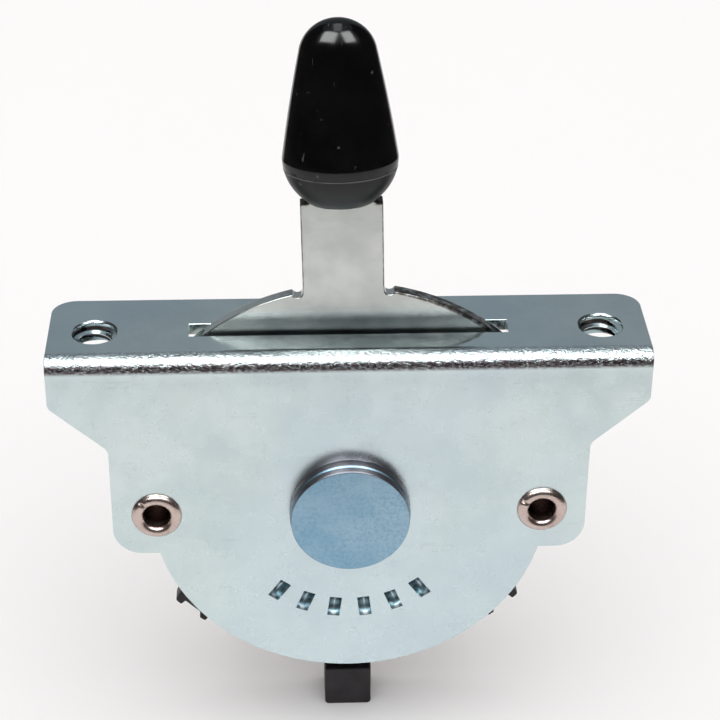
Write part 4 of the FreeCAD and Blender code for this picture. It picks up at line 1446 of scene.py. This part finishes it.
@dataclass
class ContactWafer(Assembly):
    """Moulded wafer with its terminals, rivets, eyelets, spacers, rotor and blades."""

    eyelet_bore: float = 1.1
    eyelet_shank: float = 1.5
    eyelet_lip: float = 2.1
    lip_height: float = 0.45
    wafer_back: float = 2.6
    rivet_radius: float = 11.7
    rivet_head: float = 1.0
    rivet_shank: float = 0.6
    rivet_tall: float = 0.35
    terminal_angles: tuple[float, ...] = (14.4, 43.2, 72.0, 100.8)
    split_turn: tuple[float, float] = (-0.75, -1.05)
    split_half: float = 0.06
    split_depth: float = 0.14
    spacer_play: float = 0.05
    edge: float = 0.06
    blade_edge: float = 0.035
    lug_edge: float = 0.05
    wafer_edge: float = 0.16

    def build(self) -> None:
        """Make every piece of the contact side."""
        wafer = self.soften("wafer", "moulded_wafer", self.wafer_edge)
        self.add(wafer, "wafer_black", Body.FIXED, "wafer")
        rotor = self.soften("rotor", "moulded_rotor", self.edge)
        self.add(rotor, "rotor_brown", Body.LEVER, "rotor")
        for word, side in SIDES:
            eyelet = write_mesh(word + "_rolled_eyelet", [self.eyelet(side)])
            self.add(eyelet, "nickel", Body.FIXED, word + "_eyelet")
            node = word + "_spacer"
            spacer = write_mesh(word + "_spacing_tube", [self.spacer(node, side)])
            self.add(spacer, "turned_steel", Body.FIXED, node)
            blade = self.soften(word + "_blade", word + "_contact_blade", self.blade_edge)
            self.add(blade, "contact_metal", Body.LEVER, word + "_blade")
            for title in ("throw_1", "throw_2", "throw_3", "common"):
                node = word + "_" + title + "_terminal"
                lug = self.soften(node, word + "_" + title + "_lug", self.lug_edge)
                self.add(lug, "contact_metal", Body.FIXED, node)
        rivets = write_mesh("wafer_rivets", self.rivets())
        self.add(rivets, "rivet_brass", Body.FIXED, "terminal_rivets")

    def spacer(self, node: str, side: int) -> Sheet:
        """Tube that fills a CAD spacer's box round its eyelet.

        Args:
            node: The CAD spacer.
            side: -1 for the left one and 1 for the right.

        Returns:
            The closed wall.
        """
        low, high = (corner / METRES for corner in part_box(node))
        bore, outside = self.eyelet_shank + self.spacer_play, (high.x - low.x) / 2
        across = side * EYELET_ACROSS
        return tube(low.y, high.y, bore, outside, self.edge, across, -EYELET_DROP)

    def eyelet(self, side: int) -> Sheet:
        """Hollow rivet whose rolled lips carry a fine split.

        The profile is a loop: front lip as an arc, shank, rear lip, bore. At the split
        the lip sinks by a narrow bell curve of the angle.

        Args:
            side: -1 for the left one and 1 for the right.

        Returns:
            The closed wall.
        """
        chord = self.eyelet_lip - self.eyelet_bore
        arc = np.linspace(0.0, math.pi, 17)
        bulge = self.lip_height * np.sin(arc)
        lip = self.eyelet_bore + chord * (1 - np.cos(arc)) / 2
        front = np.column_stack([PLATE_FACE - bulge, lip])
        back = np.column_stack([self.wafer_back + bulge, lip])[::-1]
        shank = np.array([(PLATE_FACE, self.eyelet_shank), (self.wafer_back, self.eyelet_shank)])
        profile = np.vstack([front, shank, back])
        wall = turned(profile, side * EYELET_ACROSS, -EYELET_DROP, 160, closed=True)
        angle = np.linspace(0.0, FULL_TURN, 160, endpoint=False)[None, :]
        share = np.concatenate([np.sin(arc), [0.0, 0.0], -np.sin(arc)])[:, None]
        away = np.angle(np.exp(1j * (angle - self.split_turn[side > 0])))
        bell = np.exp(-((away / self.split_half) ** 2))
        wall.points[..., 1] += share * self.split_depth * bell
        return wall

    def rivets(self) -> list[Sheet]:
        """One turned rivet at each terminal: flat head in front, domed head behind.

        Returns:
            A closed surface for each rivet.
        """
        low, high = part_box("terminal_rivets")
        front, back = low.y / METRES, high.y / METRES
        tail = back - self.rivet_tall
        corners = np.array(
            [
                (front, 0.0),
                (front, self.rivet_head),
                (front + self.rivet_tall, self.rivet_head),
                (front + self.rivet_tall, self.rivet_shank),
                (tail, self.rivet_shank),
                (tail, self.rivet_head),
                (back - self.rivet_tall / 2, self.rivet_head),
                (back, self.rivet_shank),
                (back, 0.0),
            ]
        )
        profile = soften_profile(corners, 0.1, 4)
        return [
            turned(
                profile,
                side * self.rivet_radius * math.sin(math.radians(angle)),
                -PIVOT_DROP - self.rivet_radius * math.cos(math.radians(angle)),
                40,
            )
            for side in (-1, 1)
            for angle in self.terminal_angles
        ]


# ---------------------------------------------------------------------------------------
# Studio
# ---------------------------------------------------------------------------------------


@dataclass(frozen=True)
class SoftBox:
    """Large soft lamp that faces the object."""

    name: str
    azimuth: float
    elevation: float
    wide: float
    tall: float
    radiance: float
    mirrored: bool
    distance: float = 2.6
    aim_height: float = 0.0

    def build(self) -> bpy.types.Object:
        """Place the lamp: azimuth from straight in front towards +X, both in degrees.

        Returns:
            The lamp.
        """
        azimuth, elevation = math.radians(self.azimuth), math.radians(self.elevation)
        back = Vector(
            (
                math.sin(azimuth) * math.cos(elevation),
                -math.cos(azimuth) * math.cos(elevation),
                math.sin(elevation),
            )
        )
        lamp = bpy.data.lights.new(self.name, "AREA")
        lamp.shape = "RECTANGLE"
        lamp.size = 2 * self.distance * math.tan(math.radians(self.wide / 2))
        lamp.size_y = 2 * self.distance * math.tan(math.radians(self.tall / 2))
        lamp.energy = self.radiance * math.pi * lamp.size * lamp.size_y
        made = bpy.data.objects.new(self.name, lamp)
        made.location = back * self.distance + Vector((0.0, 0.0, self.aim_height * METRES))
        made.rotation_mode = "QUATERNION"
        made.rotation_quaternion = (-back).to_track_quat("-Z", "Y")
        made.visible_camera = False
        made.visible_glossy = self.mirrored
        made.visible_diffuse = not self.mirrored
        bpy.context.scene.collection.objects.link(made)
        return made


@dataclass
class Studio:
    """Pale floor, four soft lamps, a dark card, a grey room and the camera."""

    floor_level: float = -38.5
    floor_half: float = 4000.0
    floor: Paper = Paper(
        "floor_paper",
        tint=(0.905, 0.93, 0.93),
        shade=(0.89, 0.915, 0.917),
        clouds=(60.0, 3.0),
        tooth=(0.8, 3.0),
        tooth_shift=2.0,
        tooth_depth=0.01,
        roughness=0.9,
        specular=0.1,
    )
    card: Paper = Paper(
        "card_paper",
        tint=(0.03, 0.027, 0.027),
        shade=(0.045, 0.04, 0.04),
        clouds=(4.0, 4.0),
        tooth=(4.0, 4.0),
        tooth_shift=1.0,
        tooth_depth=0.02,
        roughness=0.95,
        specular=0.5,
    )
    room_in_mirror: Colour = (0.31, 0.345, 0.375)
    room_light: Colour = (0.6, 0.55, 0.545)
    room_in_view: Colour = (1.0, 1.0, 1.0)
    card_place: float = -112.0
    card_top: Reach = (76.0, 230.0)
    card_rise: Reach = (54.0, 72.0)
    card_half: float = 130.0
    card_turn: float = 140.0
    lens: float = 106.579
    sensor: float = 36.0
    clip: Reach = (0.01, 50.0)
    camera_place: tuple[float, float, float] = (-5.253, -149.626, 88.139)
    camera_right: tuple[float, float, float] = (0.99927, -0.03787, 0.00581)
    camera_up: tuple[float, float, float] = (0.01474, 0.5199, 0.8541)
    lamps: tuple[SoftBox, ...] = (
        SoftBox("overhead_panel", 0.0, 68.0, 80.0, 70.0, 1.35, mirrored=False),
        SoftBox(
            "left_soft_box",
            *(-29.0, 40.0, 38.0, 34.0, 10.0),
            mirrored=True,
            distance=0.11,
            aim_height=38.0,
        ),
        SoftBox(
            "right_soft_box",
            *(33.0, 39.0, 27.0, 34.0, 10.0),
            mirrored=True,
            distance=0.11,
            aim_height=38.0,
        ),
        SoftBox("upper_soft_box", 0.0, 84.0, 18.0, 40.0, 2.2, mirrored=True),
    )

    def build(self) -> None:
        """Make floor, lamps, room and camera."""
        self.build_floor()
        for lamp in self.lamps:
            lamp.build()
        self.build_card()
        self.build_room()
        self.build_camera()

    def build_floor(self) -> None:
        """Lay the floor under the foot."""
        span = np.array([-self.floor_half, self.floor_half])
        points = surface(span[None, :], span[:, None], self.floor_level)
        floor = write_mesh("floor", [Sheet(points, columns_closed=False)])
        floor.data.materials.append(self.floor.material())

    def build_card(self) -> None:
        """Stand a dark card in front and at both sides, seen only in glossy surfaces."""
        card = write_mesh("dark_card", [self.card_sheet()])
        card.data.materials.append(self.card.material())
        for kind in ("camera", "diffuse", "transmission", "volume_scatter", "shadow"):
            setattr(card, "visible_" + kind, False)

    def card_sheet(self) -> Sheet:
        """The card, part of a tube about the object.

        The point at angle a and height z is (half sin a, place cos a, z). The top edge
        rises smoothly towards both sides.

        Returns:
            The surface.
        """
        angle = np.radians(np.linspace(-self.card_turn, self.card_turn, 63))[:, None]
        low, high = self.card_top
        top = low + (high - low) * smooth_step(*np.radians(self.card_rise), np.abs(angle))
        height = self.floor_level + (top - self.floor_level) * np.array([[0.0, 1.0]])
        points = surface(self.card_half * np.sin(angle), self.card_place * np.cos(angle), height)
        return Sheet(points, columns_closed=False)

    def build_room(self) -> None:
        """Light from all round: warm on matt things, cool in mirrors, white to the camera."""
        world = bpy.data.worlds.new("room")
        world.use_nodes = True
        tree = world.node_tree
        tree.nodes.clear()
        output = tree.nodes.new("ShaderNodeOutputWorld")
        path = tree.nodes.new("ShaderNodeLightPath")
        rays = ((self.room_in_mirror, "Is Glossy Ray"), (self.room_in_view, "Is Camera Ray"))
        shown = self.room_shader(tree, self.room_light)
        for colour, ray in rays:
            mix = tree.nodes.new("ShaderNodeMixShader")
            tree.links.new(path.outputs[ray], mix.inputs[0])
            tree.links.new(shown, mix.inputs[1])
            tree.links.new(self.room_shader(tree, colour), mix.inputs[2])
            shown = mix.outputs[0]
        tree.links.new(shown, output.inputs["Surface"])
        bpy.context.scene.world = world

    def room_shader(self, tree: bpy.types.NodeTree, colour: Colour) -> Socket:
        """Even light of one colour.

        Args:
            tree: The room's nodes.
            colour: Colour of the light.

        Returns:
            The shader's output.
        """
        light = tree.nodes.new("ShaderNodeBackground")
        light.inputs["Color"].default_value = (*colour, 1.0)
        return light.outputs[0]

    def build_camera(self) -> None:
        """Place the camera where the photo was taken."""
        lens = bpy.data.cameras.new("photo_camera")
        lens.lens = self.lens
        lens.sensor_width = self.sensor
        lens.clip_start, lens.clip_end = self.clip
        camera = bpy.data.objects.new("photo_camera", lens)
        right = Vector(self.camera_right).normalized()
        up = Vector(self.camera_up).normalized()
        axes = Matrix((right, up, right.cross(up))).transposed().to_4x4()
        camera.matrix_world = Matrix.Translation(Vector(self.camera_place) * METRES) @ axes
        bpy.context.scene.collection.objects.link(camera)
        bpy.context.scene.camera = camera


def main() -> None:
    """Build the switch, sub-assembly by sub-assembly, and its studio."""
    logging.basicConfig(level=logging.INFO, format="%(name)s: %(message)s")
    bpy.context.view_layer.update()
    finishes = Finishes()
    for kind in (Bracket, PivotStack, LeverAssembly, ContactWafer):
        assembly = kind(finishes)
        assembly.build()
        for piece in assembly.pieces:
            logger.info("%s: %s, %d faces", kind.__name__, piece.name, len(piece.data.polygons))
    scene = bpy.context.scene
    scene.view_settings.view_transform = "Standard"
    Studio().build()


if __name__ == "__main__":
    main()
